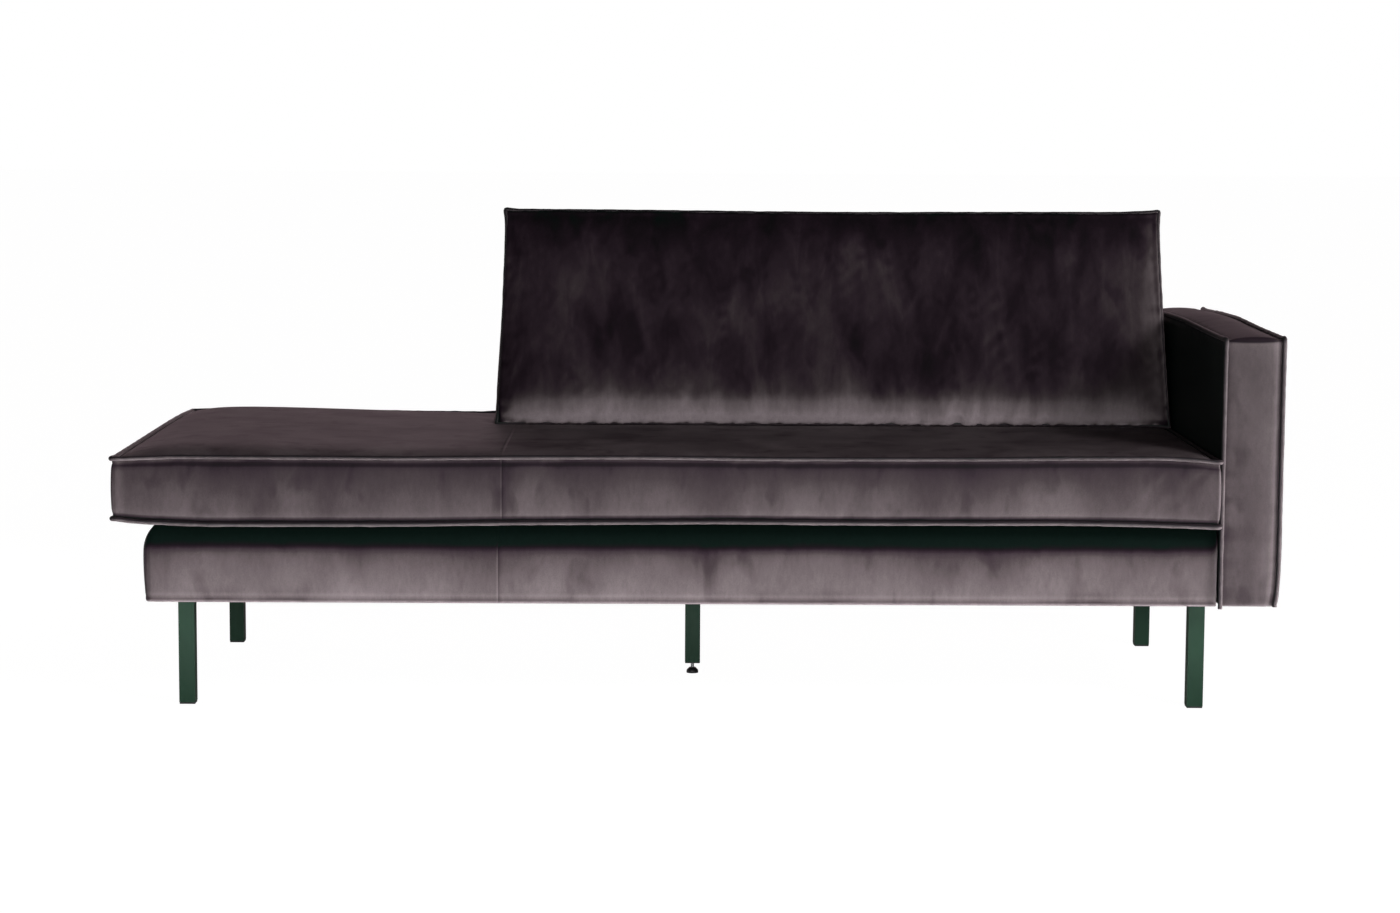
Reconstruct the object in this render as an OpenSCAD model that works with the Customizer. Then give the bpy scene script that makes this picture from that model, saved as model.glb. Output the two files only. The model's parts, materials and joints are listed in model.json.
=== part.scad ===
// Upholstered daybed: a sprung base on steel legs, one box arm, a low upholstered back
// frame, a loose L-shaped seat cushion that goes round the back frame, and a loose back cushion.
// +X runs towards the arm, -Y is the front and +Z is up. The origin is on the floor, under
// the middle of the whole.

/* [Overall] */
// Width, from the seat cushion's left piping to the arm's outer piping
overall_w = 2020; // [1960:10:2100]
// Depth, from the seat cushion's front piping to its rear piping
overall_d = 860; // [850:1:870]
// Height of the back cushion's top piping above the floor
overall_h = 850; // [830:1:870]

/* [Legs] */
// Height of the legs, from the floor to the top of their plates
leg_h = 192; // [170:1:210]
// Outside width of the square leg tube
leg_tube = 28; // [26:0.5:30]
// Wall of the leg tube
leg_wall = 2; // [1.5:0.5:2.5]
// Side of the square plate that is welded to a corner leg
plate_w = 84; // [80:1:88]
// Thickness of the plates
plate_t = 4; // [3:0.5:5]
// Gap between the middle leg's tube and the floor
middle_gap = 21; // [19:0.5:24]
// Middle leg's distance left of the origin
middle_left = 4; // [0:1:10]
// Middle leg's distance in front of the origin
middle_front = 17; // [0:1:60]

/* [Base] */
// Height of the upholstered base
base_h = 143; // [135:1:150]
// How far the seat cushion overhangs the base at the left end
overhang_left = 53; // [30:1:60]
// How far the seat cushion overhangs the base at the front
overhang_front = 30; // [15:1:40]
// Radius of the padded edge round the top of the base
base_edge_r = 38; // [30:1:40]
// Radius of the base's upright corners
base_side_r = 18; // [12:1:20]
// Number of zigzag springs
springs = 9; // [6:1:9]

/* [Arm] */
// Width of the arm between its two upholstered faces
arm_w = 102.25; // [95:0.25:110]
// Height of the arm's piping above the floor
arm_h = 650; // [600:1:700]
// Rise of the arm's crowned top
arm_crown = 9; // [0:1:12]

/* [Back frame] */
// Thickness of the upholstered back frame
back_t = 103; // [100:1:106]
// Left end of the back frame, measured left of the origin
back_left = 345; // [300:1:345]

/* [Seat cushion] */
// Thickness of the seat cushion, piping included
seat_t = 110.5; // [90:0.5:130]
// Clear gap between the seat cushion and the back frame
seat_gap = 12; // [10:1:15]

/* [Back cushion] */
// Width of the back cushion between its two ends
pillow_w = 1246; // [1100:1:1250]
// Thickness of the back cushion at its top
pillow_t = 140; // [120:1:150]
// Angle by which the back cushion's front leans back
pillow_lean = 16.5; // [14:0.5:18]

/* [Upholstery] */
// Radius of the fabric-covered piping cord
pipe_r = 4.25; // [3:0.25:5]
// How far the piping stands out from the faces that it edges
pipe_out = 2.75; // [2:0.25:3]
// Thickness of the velvet
cloth_t = 2; // [1.5:0.5:2.5]

/* [Hidden] */
$fn = 48;
air = 0.5;                                  // gap between one loose body and the next
cut = 1;                                    // overshoot of a cutting solid

// Outer faces of the upholstered masses
x_left = -overall_w / 2;
x_right = overall_w / 2;
y_front = -overall_d / 2;
y_rear = overall_d / 2;
arm_x1 = x_right - pipe_out;
arm_x0 = arm_x1 - arm_w;
arm_y0 = y_front + 9;
arm_y1 = y_rear - 6;
base_x0 = x_left + overhang_left;
base_x1 = arm_x0 - 3;
base_y0 = y_front + overhang_front;
base_y1 = y_rear - 25;
base_z0 = leg_h;
base_z1 = base_z0 + base_h;
back_x0 = -back_left;
back_x1 = arm_x0 - 8;
back_y1 = y_rear - 8;
back_y0 = back_y1 - back_t;
back_z0 = base_z1 + 1;
back_z1 = arm_h - 3;
back_crown = 5;

// Wooden base frame
dust_t = 1;
hem_w = 28;
hem_z = base_z0 + dust_t;
wood_z0 = hem_z + cloth_t;
rail_t = 25;
rail_z1 = base_z1 - base_edge_r;
pad_t = 10;                                 // padding on the base's front and left end
rail_x0 = base_x0 + cloth_t + pad_t;
rail_x1 = base_x1 - cloth_t;
rail_end_x = rail_x1 - 0.5;                 // right end of the front and rear rails
rail_y0 = base_y0 + cloth_t + pad_t;
rail_y1 = base_y1 - cloth_t - 2;            // leaves room for the nut flanges behind the rear rail
inner_x0 = rail_x0 + rail_t;
inner_x1 = rail_x1 - rail_t;
inner_y0 = rail_y0 + rail_t;
inner_y1 = rail_y1 - rail_t;
block_h = 40;
block_reach = 70;                           // how far a corner block runs in past its leg
centre_rail_w = 40;
centre_rail_h = 90;
cross_rail_h = 60;
cross_rail_x = [-480, 450];

// Springs and deck
wire_r = 1.9;
spring_pitch = 160;
spring_x0 = -860;
spring_half_w = 22;
spring_bends = 20;
spring_z = rail_z1 + 3.6;
clip_t = 1.5;
clip_top = spring_z + wire_r + 0.2 + clip_t;
felt_z = clip_top + 0.3;
felt_t = 3;
felt_inset = 6;                             // keeps the felt inside the roll of the base's top edge
felt_r = 20;

// Legs and fasteners
leg_x = [base_x0 + 64, base_x1 - 23];
leg_y = [base_y0 + 67, base_y1 - 104];
plate_margin = 4;                           // plate left over outside a corner leg's tube
glide_t = 3;
leg_holes = [[54, 12], [54, 54], [12, 54], [30, 30]];
middle_x = -middle_left;
middle_y = -middle_front;
middle_plate = [36, 80];
middle_hole_y = 30;
m6 = 2.95;
m8 = 3.95;
bolt_slack = 0.4;
block_top = wood_z0 + block_h;
insert_h = 20;
pad_h = 10;
pad_r = 11;
stem_foot = 5;
stem_top = 60;
socket_air = 0.05;

// Arm frame
arm_wood_x0 = arm_x0 + 9;
arm_wood_x1 = arm_x1 - 9;
arm_panel_t = 4;
arm_wood_y0 = arm_y0 + 14;
arm_wood_y1 = arm_y1 - 4;
arm_wood_z1 = arm_h - 28;
arm_rail_t = 22;
arm_rail_h = 125;
arm_post_t = 30;
arm_bolt_y = [-200, 200];
arm_bolt_z = [225, 275];

// Back frame
post_w = 40;
back_wood_x0 = back_x0 + 10;
back_wood_x1 = back_x1 - 6;
back_wood_z1 = back_z1 - 26;
post_y1 = inner_y1;
post_y0 = post_y1 - post_w;
post_x = [back_wood_x0, inner_x1 - post_w];
post_z0 = block_top + 1;
panel_t = 4;
back_panel_y = back_y1 - 12;                // front face of the rear panel
back_bolt_z = [252, 280];

// Seat cushion
seat_x0 = x_left + pipe_out;
seat_x1 = arm_x0 - 10;
seat_y0 = y_front + pipe_out;
seat_y1 = y_rear - pipe_out;
seat_z0 = base_z1 + air;
seat_z1 = seat_z0 + seat_t;
notch_x = back_x0 - seat_gap + 1;
notch_y = back_y0 - seat_gap;
seat_corner_r = 14;
wadding_t = 8;

// Zip fasteners: a slot in the seat's rear boxing, a channel under the back cushion
zip_w = 12;
zip_tape_t = 0.8;
zip_teeth_w = 4;
zip_teeth_t = 1.2;
zip_air = 0.4;
zip_plate_t = 1.2;
zip_tab_t = 0.7;
seat_zip_x = [-960, -400];
seat_zip_z = seat_z0 + seat_t / 2;
pillow_zip_y = 205;
pillow_zip_depth = 5;

// Back cushion
pillow_x0 = back_x0 - 17;
pillow_x1 = pillow_x0 + pillow_w;
pillow_z0 = seat_z1 + air;
pipe_in = pipe_r - pipe_out;                // depth of the piping's centre behind a face
seam_depth = pipe_in + pipe_r + 2;          // room that padding leaves for piping and its bends
lean_up = [sin(pillow_lean), cos(pillow_lean)];
lean_back = [cos(pillow_lean), -sin(pillow_lean)];
pillow_len = (overall_h - pipe_r + pipe_in * (lean_up.y - lean_back.y) - pillow_z0) / lean_up.y;
pillow_rest_y = back_y0 - 8.5;              // where the cushion's back meets the frame
pillow_front_bottom = [118, pillow_z0];
pillow_rear_bottom = [pillow_rest_y - 10, pillow_z0];
pillow_front_top = pillow_front_bottom + pillow_len * lean_up;
pillow_rear_top = pillow_front_top + pillow_t * lean_back;
pillow_profile = [
    pillow_front_bottom,
    pillow_rear_bottom,
    [pillow_rest_y, pillow_z0 + 105],
    [pillow_rest_y, arm_h + 5],
    pillow_rear_top,
    pillow_front_top
];
pillow_zip_x = [pillow_x0 + 40, pillow_x1 - 40];

// The back cushion's piping, seen from its end: bottom first
pillow_pipe_front = [
    pillow_front_bottom + [pipe_in + pipe_r * tan(pillow_lean) / 2, pipe_r],
    pillow_front_top + pipe_in * (lean_back - lean_up)
];
pillow_pipe_rear = [
    pillow_rear_bottom + [-pipe_in, pipe_r],
    [pillow_rest_y - pipe_in, pillow_z0 + 105],
    [pillow_rest_y - pipe_in, arm_h + 5],
    pillow_rear_top - pipe_in * (lean_back + lean_up)
];

// Colours
velvet = "#5b5054";
piping_velvet = "#7d7276";
steel_green = "#3b4f42";
zinc = "#b9bcc0";
black_plastic = "#17181a";
pine = "#d8b98a";
plywood = "#c9a46f";
hardboard = "#8a6647";
foam_cream = "#efe3bd";
wadding_white = "#f2f2ee";
felt_grey = "#8b8d8e";
dust_black = "#202124";
brass_zip = "#6f6a66";

// ---------- Shapes that repeat ----------

// A box between two corners
module block(lo, hi) {
    translate(lo) cube(hi - lo);
}

// A 2D outline in (Y, Z), extruded along X between two stations
module along_x(x0, x1) {
    translate([x0, 0, 0]) rotate([90, 0, 90]) linear_extrude(x1 - x0) children();
}

// A 2D outline in (X, Z), extruded along Y between two stations
module along_y(y0, y1) {
    translate([0, y1, 0]) rotate([90, 0, 0]) linear_extrude(y1 - y0) children();
}

// A rectangle whose top edge is crowned
module crowned(a0, a1, b0, b1, rise, steps = 12) {
    top = [for (i = [0 : steps])
        let (s = i / steps) [a1 + (a0 - a1) * s, b1 + rise * sin(180 * s)]];
    polygon(concat([[a0, b0], [a1, b0]], top));
}

// A box with softly rounded upright edges and a padded roll round its top
module padded_box(lo, hi, side_r, top_r) {
    hull() for (x = [0, 1], y = [0, 1]) {
        translate([x ? hi.x - side_r : lo.x + side_r, y ? hi.y - side_r : lo.y + side_r, lo.z])
            cylinder(r = side_r, h = hi.z - top_r - lo.z, $fn = 32);
        translate([x ? hi.x - top_r : lo.x + top_r, y ? hi.y - top_r : lo.y + top_r, hi.z - top_r])
            sphere(r = top_r, $fn = 32);
    }
}

function unit(v) = v / norm(v);

// Replaces each corner of a path with a short curve
function curved(path, r, steps, closed) = [
    for (i = [0 : len(path) - 1])
        let (
            p = path[i],
            before = path[(i + len(path) - 1) % len(path)],
            after = path[(i + 1) % len(path)],
            is_end = !closed && (i == 0 || i == len(path) - 1),
            a = p + r * unit(before - p),
            b = p + r * unit(after - p)
        )
        for (s = is_end ? [0] : [for (k = [0 : steps]) k / steps])
            is_end ? p : (1 - s) * (1 - s) * a + 2 * s * (1 - s) * p + s * s * b
];

// A round cord along a path. The reference direction is never parallel to the path.
module cord(path, r, reference, closed, sides = 8) {
    count = len(path);
    rings = [for (i = [0 : count - 1])
        let (
            before = path[closed ? (i + count - 1) % count : max(i - 1, 0)],
            after = path[closed ? (i + 1) % count : min(i + 1, count - 1)],
            along = unit(after - before),
            side = unit(cross(along, reference)),
            up = cross(side, along)
        )
        for (k = [0 : sides - 1])
            path[i] + r * (cos(360 * k / sides) * side + sin(360 * k / sides) * up)];
    walls = [for (i = [0 : count - (closed ? 1 : 2)], k = [0 : sides - 1])
        let (
            j = (i + 1) % count,
            k2 = (k + 1) % sides,
            a = i * sides + k,
            b = i * sides + k2,
            c = j * sides + k2,
            d = j * sides + k
        )
        each [[a, c, b], [a, d, c]]];
    caps = closed ? [] : [
        [for (k = [0 : sides - 1]) k],
        [for (k = [sides - 1 : -1 : 0]) (count - 1) * sides + k]
    ];
    polyhedron(points = rings, faces = concat(walls, caps));
}

// The seat cushion's L-shaped outline, drawn in by an inset
function seat_outline(inset) = let (i = inset) curved([
    [seat_x0 + i, seat_y0 + i], [seat_x1 - i, seat_y0 + i], [seat_x1 - i, notch_y - i],
    [notch_x - i, notch_y - i], [notch_x - i, seat_y1 - i], [seat_x0 + i, seat_y1 - i]
], seat_corner_r, 4, true);

// A button-head bolt: the head is under the origin and the shank goes up
module bolt(r, length) {
    translate([0, 0, -1.1 * r]) cylinder(r = 1.85 * r, h = 1.1 * r);
    cylinder(r = r, h = length);
}

// A tee nut: its flange lies on the surface at the origin and its barrel goes down
module tee_nut(r, depth) {
    difference() {
        union() {
            cylinder(r = 2.6 * r, h = 1.5);
            translate([0, 0, -depth]) cylinder(r = r + 1.05, h = depth);
        }
        translate([0, 0, -depth - cut]) cylinder(r = r + 0.1, h = depth + 1.5 + 2 * cut);
    }
}

// The hole that a tee nut's barrel and its bolt need, down through a board
module tee_nut_hole(r, depth, board) {
    translate([0, 0, -board - cut]) cylinder(r = r + bolt_slack, h = board + 2 * cut);
    translate([0, 0, -depth - 0.1]) cylinder(r = r + 1.15, h = depth + 0.1 + cut);
}

// Positions of the four corner legs' bolts and of the middle leg's bolts
module at_leg_bolts() {
    for (i = [0, 1], j = [0, 1], hole = leg_holes)
        translate([leg_x[i] + (1 - 2 * i) * hole.x, leg_y[j] + (1 - 2 * j) * hole.y, 0])
            children();
}
module at_middle_bolts() {
    for (s = [-1, 1]) translate([middle_x, middle_y + s * middle_hole_y, 0]) children();
}

// Arm bolts point along +X, and back frame bolts along +Y
module at_arm_bolts(x) {
    for (y = arm_bolt_y, z = arm_bolt_z) translate([x, y, z]) rotate([0, 90, 0]) children();
}
module at_back_bolts(y) {
    for (x = post_x, z = back_bolt_z)
        translate([x + post_w / 2, y, z]) rotate([-90, 0, 0]) children();
}

// Clearance for the two back posts where they run down into the base
module post_slots() {
    for (x = post_x)
        block([x - 1, post_y0 - 1, wood_z0], [x + post_w + 1, post_y1 + 1, base_z1 + cut]);
}

// ---------- Base ----------

// Rounds off the right end of the front rail (side -1) or the rear rail (side 1) inside the cover
module rail_rounding(side) {
    h = rail_z1 - wood_z0 + 2 * cut;
    y = side < 0 ? base_y0 + base_side_r : base_y1 - base_side_r;
    translate([base_x1 - base_side_r, y, wood_z0 - cut]) mirror([0, side < 0 ? 1 : 0, 0])
        difference() {
            cube([base_side_r, base_side_r, h]);
            translate([0, 0, -cut])
                cylinder(r = rail_end_x - base_x1 + base_side_r, h = h + 2 * cut);
        }
}

module base_front_rail() {
    color(pine) difference() {
        block([rail_x0, rail_y0, wood_z0], [rail_end_x, inner_y0, rail_z1]);
        rail_rounding(-1);
    }
}

module base_rear_rail() {
    color(pine) difference() {
        block([rail_x0, inner_y1, wood_z0], [rail_end_x, rail_y1, rail_z1]);
        rail_rounding(1);
        at_back_bolts(rail_y1) tee_nut_hole(m8, 11, rail_t);
    }
}

module base_left_rail() {
    color(pine) block([rail_x0, inner_y0, wood_z0], [inner_x0, inner_y1, rail_z1]);
}

module base_right_rail() {
    color(pine) difference() {
        block([inner_x1, inner_y0, wood_z0], [rail_x1, inner_y1, rail_z1]);
        at_arm_bolts(inner_x1 - cut) cylinder(r = m8 + bolt_slack, h = rail_t + 2 * cut);
    }
}

module base_centre_rail() {
    top = wood_z0 + centre_rail_h;
    half = centre_rail_w / 2;
    color(pine) difference() {
        block([middle_x - half, inner_y0, wood_z0], [middle_x + half, inner_y1, top]);
        translate([0, 0, top]) at_middle_bolts() tee_nut_hole(m6, 9, centre_rail_h);
    }
}

module base_cross_rails() {
    color(pine) for (x = cross_rail_x)
        block([x, inner_y0, wood_z0], [x + rail_t, inner_y1, wood_z0 + cross_rail_h]);
}

module corner_blocks() {
    color(plywood) difference() {
        for (i = [0, 1], j = [0, 1])
            block(
                [i ? leg_x[1] - block_reach : inner_x0, j ? leg_y[1] - block_reach : inner_y0, wood_z0],
                [i ? inner_x1 : leg_x[0] + block_reach, j ? inner_y1 : leg_y[0] + block_reach, block_top]
            );
        translate([0, 0, block_top]) at_leg_bolts() tee_nut_hole(m6, 9, block_h);
    }
}

module zigzag_springs() {
    y0 = rail_y0 + 12;
    y1 = rail_y1 - 12;
    steps = 3 * spring_bends;
    color(zinc) for (n = [0 : springs - 1]) {
        middle = spring_x0 + n * spring_pitch;
        wave = [for (i = [0 : steps])
            [middle + spring_half_w * sin(60 * i), y0 + (y1 - y0) * i / steps, spring_z]];
        cord(wave, wire_r, [0, 0, 1], false, 6);
    }
}

module spring_clips() {
    w = 24;
    reach = 14;
    low = rail_z1;
    color(zinc) for (n = [0 : springs - 1], rear = [0, 1]) {
        edge = rear ? rail_y1 - 8 : rail_y0 + 8;
        inward = rear ? -1 : 1;
        x = spring_x0 + n * spring_pitch - w / 2;
        translate([x, edge, low]) mirror([0, rear, 0]) {
            cube([w, reach, clip_t]);
            cube([w, clip_t, clip_top - low]);
            translate([0, 0, clip_top - low - clip_t]) cube([w, reach, clip_t]);
        }
    }
}

module deck_felt() {
    lo = [rail_x0 + felt_inset, rail_y0 + felt_inset];
    hi = [rail_x1 - felt_inset, rail_y1 - felt_inset];
    color(felt_grey) difference() {
        union() {
            block([lo.x + felt_r, lo.y, felt_z], [hi.x - felt_r, hi.y, felt_z + felt_t]);
            block([lo.x, lo.y + felt_r, felt_z], [hi.x, hi.y - felt_r, felt_z + felt_t]);
            for (x = [lo.x + felt_r, hi.x - felt_r], y = [lo.y + felt_r, hi.y - felt_r])
                translate([x, y, felt_z]) cylinder(r = felt_r, h = felt_t);
        }
        post_slots();
    }
}

module base_inside(drop) {
    padded_box(
        [base_x0 + cloth_t, base_y0 + cloth_t, wood_z0 - drop],
        [base_x1 - cloth_t, base_y1 - cloth_t, base_z1 - cloth_t],
        base_side_r - cloth_t, base_edge_r - cloth_t
    );
}

module base_foam() {
    color(foam_cream) difference() {
        base_inside(0);
        block([rail_x0, rail_y0, base_z0 - cut], [base_x1, base_y1, felt_z + felt_t]);
        post_slots();
    }
}

module base_cover() {
    color(velvet) difference() {
        padded_box(
            [base_x0, base_y0, hem_z], [base_x1, base_y1, base_z1], base_side_r, base_edge_r
        );
        base_inside(0);
        block(
            [base_x0 + hem_w, base_y0 + hem_w, base_z0 - cut],
            [base_x1 - hem_w, base_y1 - hem_w, wood_z0 + cut]
        );
        post_slots();
        at_arm_bolts(inner_x1) cylinder(r = m8 + bolt_slack, h = rail_t + 10);
    }
}

module dust_cover() {
    edge = 8;
    color(dust_black) difference() {
        union() {
            block(
                [base_x0 + edge, base_y0 + edge, base_z0],
                [base_x1 - edge, base_y1 - edge, base_z0 + dust_t]
            );
            block(
                [arm_x0 + edge, arm_y0 + edge, base_z0],
                [arm_x1 - edge, arm_y1 - edge, base_z0 + dust_t]
            );
        }
        translate([0, 0, base_z0 - cut]) {
            at_leg_bolts() cylinder(r = m6 + bolt_slack, h = dust_t + 2 * cut);
            at_middle_bolts() cylinder(r = m6 + bolt_slack, h = dust_t + 2 * cut);
        }
    }
}

// ---------- Arm ----------

module arm_post(y0) {
    color(pine) block([arm_wood_x0, y0, wood_z0], [arm_wood_x1, y0 + arm_post_t, arm_wood_z1 - 20]);
}

module arm_front_post() {
    arm_post(arm_wood_y0);
}

module arm_rear_post() {
    arm_post(arm_wood_y1 - arm_post_t);
}

module arm_top_board() {
    color(pine) block(
        [arm_wood_x0, arm_wood_y0, arm_wood_z1 - 20],
        [arm_wood_x1, arm_wood_y1, arm_wood_z1]
    );
}

module arm_mounting_rail() {
    face = arm_wood_x0 + arm_rail_t;
    color(pine) difference() {
        block(
            [arm_wood_x0, arm_wood_y0 + arm_post_t, wood_z0],
            [face, arm_wood_y1 - arm_post_t, wood_z0 + arm_rail_h]
        );
        at_arm_bolts(face) tee_nut_hole(m8, 11, arm_rail_t);
    }
}

module arm_bottom_rail() {
    color(pine) block(
        [arm_wood_x1 - arm_rail_t, arm_wood_y0 + arm_post_t, wood_z0],
        [arm_wood_x1, arm_wood_y1 - arm_post_t, wood_z0 + 45]
    );
}

module arm_inner_panel() {
    color(hardboard) difference() {
        block(
            [arm_wood_x0 - arm_panel_t, arm_wood_y0, wood_z0],
            [arm_wood_x0, arm_wood_y1, arm_wood_z1]
        );
        at_arm_bolts(arm_x0) cylinder(r = m8 + bolt_slack, h = 20);
    }
}

module arm_outer_panel() {
    color(hardboard) block(
        [arm_wood_x1, arm_wood_y0, wood_z0],
        [arm_wood_x1 + arm_panel_t, arm_wood_y1, arm_wood_z1]
    );
}

module arm_inside() {
    along_y(arm_y0 + cloth_t, arm_y1 - cloth_t)
        crowned(arm_x0 + cloth_t, arm_x1 - cloth_t, wood_z0, arm_h - cloth_t, arm_crown);
}

module arm_foam() {
    color(foam_cream) difference() {
        arm_inside();
        block(
            [arm_wood_x0 - arm_panel_t, arm_wood_y0, base_z0],
            [arm_wood_x1 + arm_panel_t, arm_wood_y1, arm_wood_z1]
        );
        at_arm_bolts(arm_x0) cylinder(r = m8 + bolt_slack, h = 20);
        for (x = [arm_x0, arm_x1 - seam_depth]) difference() {
            block([x, arm_y0, base_z0], [x + seam_depth, arm_y1, arm_h + arm_crown]);
            block(
                [x - cut, arm_y0 + seam_depth, base_z0 - cut],
                [x + seam_depth + cut, arm_y1 - seam_depth, arm_h - seam_depth]
            );
        }
    }
}

module arm_cover() {
    hem = 20;
    color(velvet) difference() {
        along_y(arm_y0, arm_y1) crowned(arm_x0, arm_x1, hem_z, arm_h, arm_crown);
        arm_inside();
        block(
            [arm_x0 + hem, arm_y0 + hem, base_z0],
            [arm_x1 - hem, arm_y1 - hem, wood_z0 + cut]
        );
        at_arm_bolts(arm_x0 - cut) cylinder(r = m8 + bolt_slack, h = 20);
    }
}

module arm_piping() {
    tail = 3;                               // loose end below the hem
    y0 = arm_y0 + pipe_in;
    y1 = arm_y1 - pipe_in;
    z1 = arm_h - pipe_in;
    color(piping_velvet) for (x = [arm_x0 + pipe_in, arm_x1 - pipe_in])
        cord(
            curved([[x, y0, base_z0 - tail], [x, y0, z1], [x, y1, z1], [x, y1, base_z0 - tail]],
                12, 5, false),
            pipe_r, [1, 0, 0], false
        );
}

// ---------- Back frame ----------

module back_post(x) {
    color(pine) difference() {
        block([x, post_y0, post_z0], [x + post_w, post_y1, back_wood_z1 - 20]);
        at_back_bolts(post_y0 - cut) cylinder(r = m8 + bolt_slack, h = post_w + 2 * cut);
    }
}

module back_left_post() {
    back_post(post_x[0]);
}

module back_right_post() {
    back_post(post_x[1]);
}

module back_top_rail() {
    color(pine) block(
        [back_wood_x0, post_y0, back_wood_z1 - 20],
        [back_wood_x1, back_panel_y, back_wood_z1]
    );
}

module back_bottom_rail() {
    color(pine) block(
        [back_wood_x0, post_y1, back_z0 + 4],
        [back_wood_x1, back_panel_y, back_z0 + 26]
    );
}

module back_front_panel() {
    color(hardboard) block(
        [back_wood_x0, post_y0 - panel_t, back_z0 + 4],
        [back_wood_x1, post_y0, back_wood_z1]
    );
}

module back_rear_panel() {
    color(hardboard) block(
        [back_wood_x0, back_panel_y, back_z0 + 4],
        [back_wood_x1, back_panel_y + panel_t, back_wood_z1]
    );
}

module back_inside() {
    along_x(back_x0 + cloth_t, back_x1 - cloth_t)
        crowned(
            back_y0 + cloth_t, back_y1 - cloth_t, back_z0 + cloth_t, back_z1 - cloth_t, back_crown
        );
}

module back_frame_foam() {
    color(foam_cream) difference() {
        back_inside();
        block(
            [back_wood_x0, post_y0 - panel_t, back_z0],
            [back_wood_x1, back_panel_y + panel_t, back_wood_z1]
        );
        for (y = [back_y0, back_y1 - seam_depth]) difference() {
            block([back_x0, y, back_z0], [back_x1, y + seam_depth, back_z1 + back_crown]);
            block(
                [back_x0 + seam_depth, y - cut, back_z0 - cut],
                [back_x1 - seam_depth, y + seam_depth + cut, back_z1 - seam_depth]
            );
        }
    }
}

module back_frame_cover() {
    hem = 8;
    color(velvet) difference() {
        along_x(back_x0, back_x1) crowned(back_y0, back_y1, back_z0, back_z1, back_crown);
        back_inside();
        block(
            [back_x0 + hem, back_y0 + hem, back_z0 - cut],
            [back_x1 - hem + 3, back_y1 - hem, back_z0 + cloth_t + cut]
        );
    }
}

module back_frame_piping() {
    x0 = back_x0 + pipe_in;
    x1 = back_x1 - pipe_in;
    z0 = back_z0 + 1;
    z1 = back_z1 - pipe_in;
    color(piping_velvet) for (y = [back_y0 + pipe_in, back_y1 - pipe_in])
        cord(
            curved([[x0, y, z0], [x0, y, z1], [x1, y, z1], [x1, y, z0]], 12, 5, false),
            pipe_r, [0, 1, 0], false
        );
}

// ---------- Legs ----------

// A corner leg: a square tube under the outer corner of a plate, turned to face inwards
module corner_leg(i, j) {
    reach = leg_tube / 2 + plate_margin;
    color(steel_green) translate([leg_x[i], leg_y[j], 0]) mirror([i, 0, 0]) mirror([0, j, 0])
        difference() {
            union() {
                block([-leg_tube / 2, -leg_tube / 2, glide_t], [leg_tube / 2, leg_tube / 2, leg_h - plate_t]);
                block([-reach, -reach, leg_h - plate_t], [plate_w - reach, plate_w - reach, leg_h]);
            }
            tube_bore(glide_t);
            for (hole = leg_holes)
                translate([hole.x, hole.y, 0]) cylinder(r = m6 + bolt_slack, h = leg_h + cut);
        }
}

module tube_bore(z0) {
    half = leg_tube / 2 - leg_wall;
    block([-half, -half, z0 - cut], [half, half, leg_h - plate_t]);
}

module leg_front_left() {
    corner_leg(0, 0);
}

module leg_front_right() {
    corner_leg(1, 0);
}

module leg_rear_left() {
    corner_leg(0, 1);
}

module leg_rear_right() {
    corner_leg(1, 1);
}

module leg_glides() {
    half = leg_tube / 2 - 0.5;
    plug = leg_tube / 2 - leg_wall - 0.1;
    color(black_plastic) for (x = leg_x, y = leg_y) translate([x, y, 0]) {
        block([-half, -half, 0], [half, half, glide_t]);
        block([-plug, -plug, glide_t], [plug, plug, glide_t + 16]);
    }
}

module leg_bolts() {
    color(zinc) translate([0, 0, leg_h - plate_t]) {
        at_leg_bolts() bolt(m6, block_top - leg_h + plate_t + 4);
        at_middle_bolts() bolt(m6, wood_z0 + centre_rail_h - leg_h + plate_t + 4);
    }
}

module leg_tee_nuts() {
    color(zinc) {
        translate([0, 0, block_top]) at_leg_bolts() tee_nut(m6, 9);
        translate([0, 0, wood_z0 + centre_rail_h]) at_middle_bolts() tee_nut(m6, 9);
    }
}

module middle_leg() {
    half = leg_tube / 2;
    color(steel_green) translate([middle_x, middle_y, 0]) difference() {
        union() {
            block([-half, -half, middle_gap], [half, half, leg_h - plate_t]);
            block([-middle_plate.x / 2, -middle_plate.y / 2, leg_h - plate_t],
                [middle_plate.x / 2, middle_plate.y / 2, leg_h]);
        }
        tube_bore(middle_gap);
        for (s = [-1, 1])
            translate([0, s * middle_hole_y, 0]) cylinder(r = m6 + bolt_slack, h = leg_h + cut);
    }
}

module middle_leg_insert() {
    half = leg_tube / 2 - 0.5;
    plug = leg_tube / 2 - leg_wall - 0.1;
    color(black_plastic) translate([middle_x, middle_y, middle_gap]) difference() {
        union() {
            block([-half, -half, -1.5], [half, half, 0]);
            block([-plug, -plug, 0], [plug, plug, insert_h]);
        }
        translate([0, 0, -2 * cut]) cylinder(r = m6 + socket_air, h = insert_h + 4 * cut);
    }
}

module levelling_pad() {
    color(black_plastic) translate([middle_x, middle_y, 0]) difference() {
        rotate_extrude() polygon(concat(
            [[0, 0], [pad_r, 0], [pad_r, 3]],
            [for (a = [15 : 15 : 60]) [6 + 5 * cos(a), 3 + 5 * sin(a)]],
            [[6, pad_h], [0, pad_h]]
        ));
        translate([0, 0, stem_foot]) cylinder(r = m6 + socket_air, h = pad_h);
    }
}

module levelling_stem() {
    color(zinc) translate([middle_x, middle_y, stem_foot + 0.1])
        cylinder(r = m6, h = stem_top - stem_foot);
}

// ---------- Bolts that join the arm and the back frame to the base ----------

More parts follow.
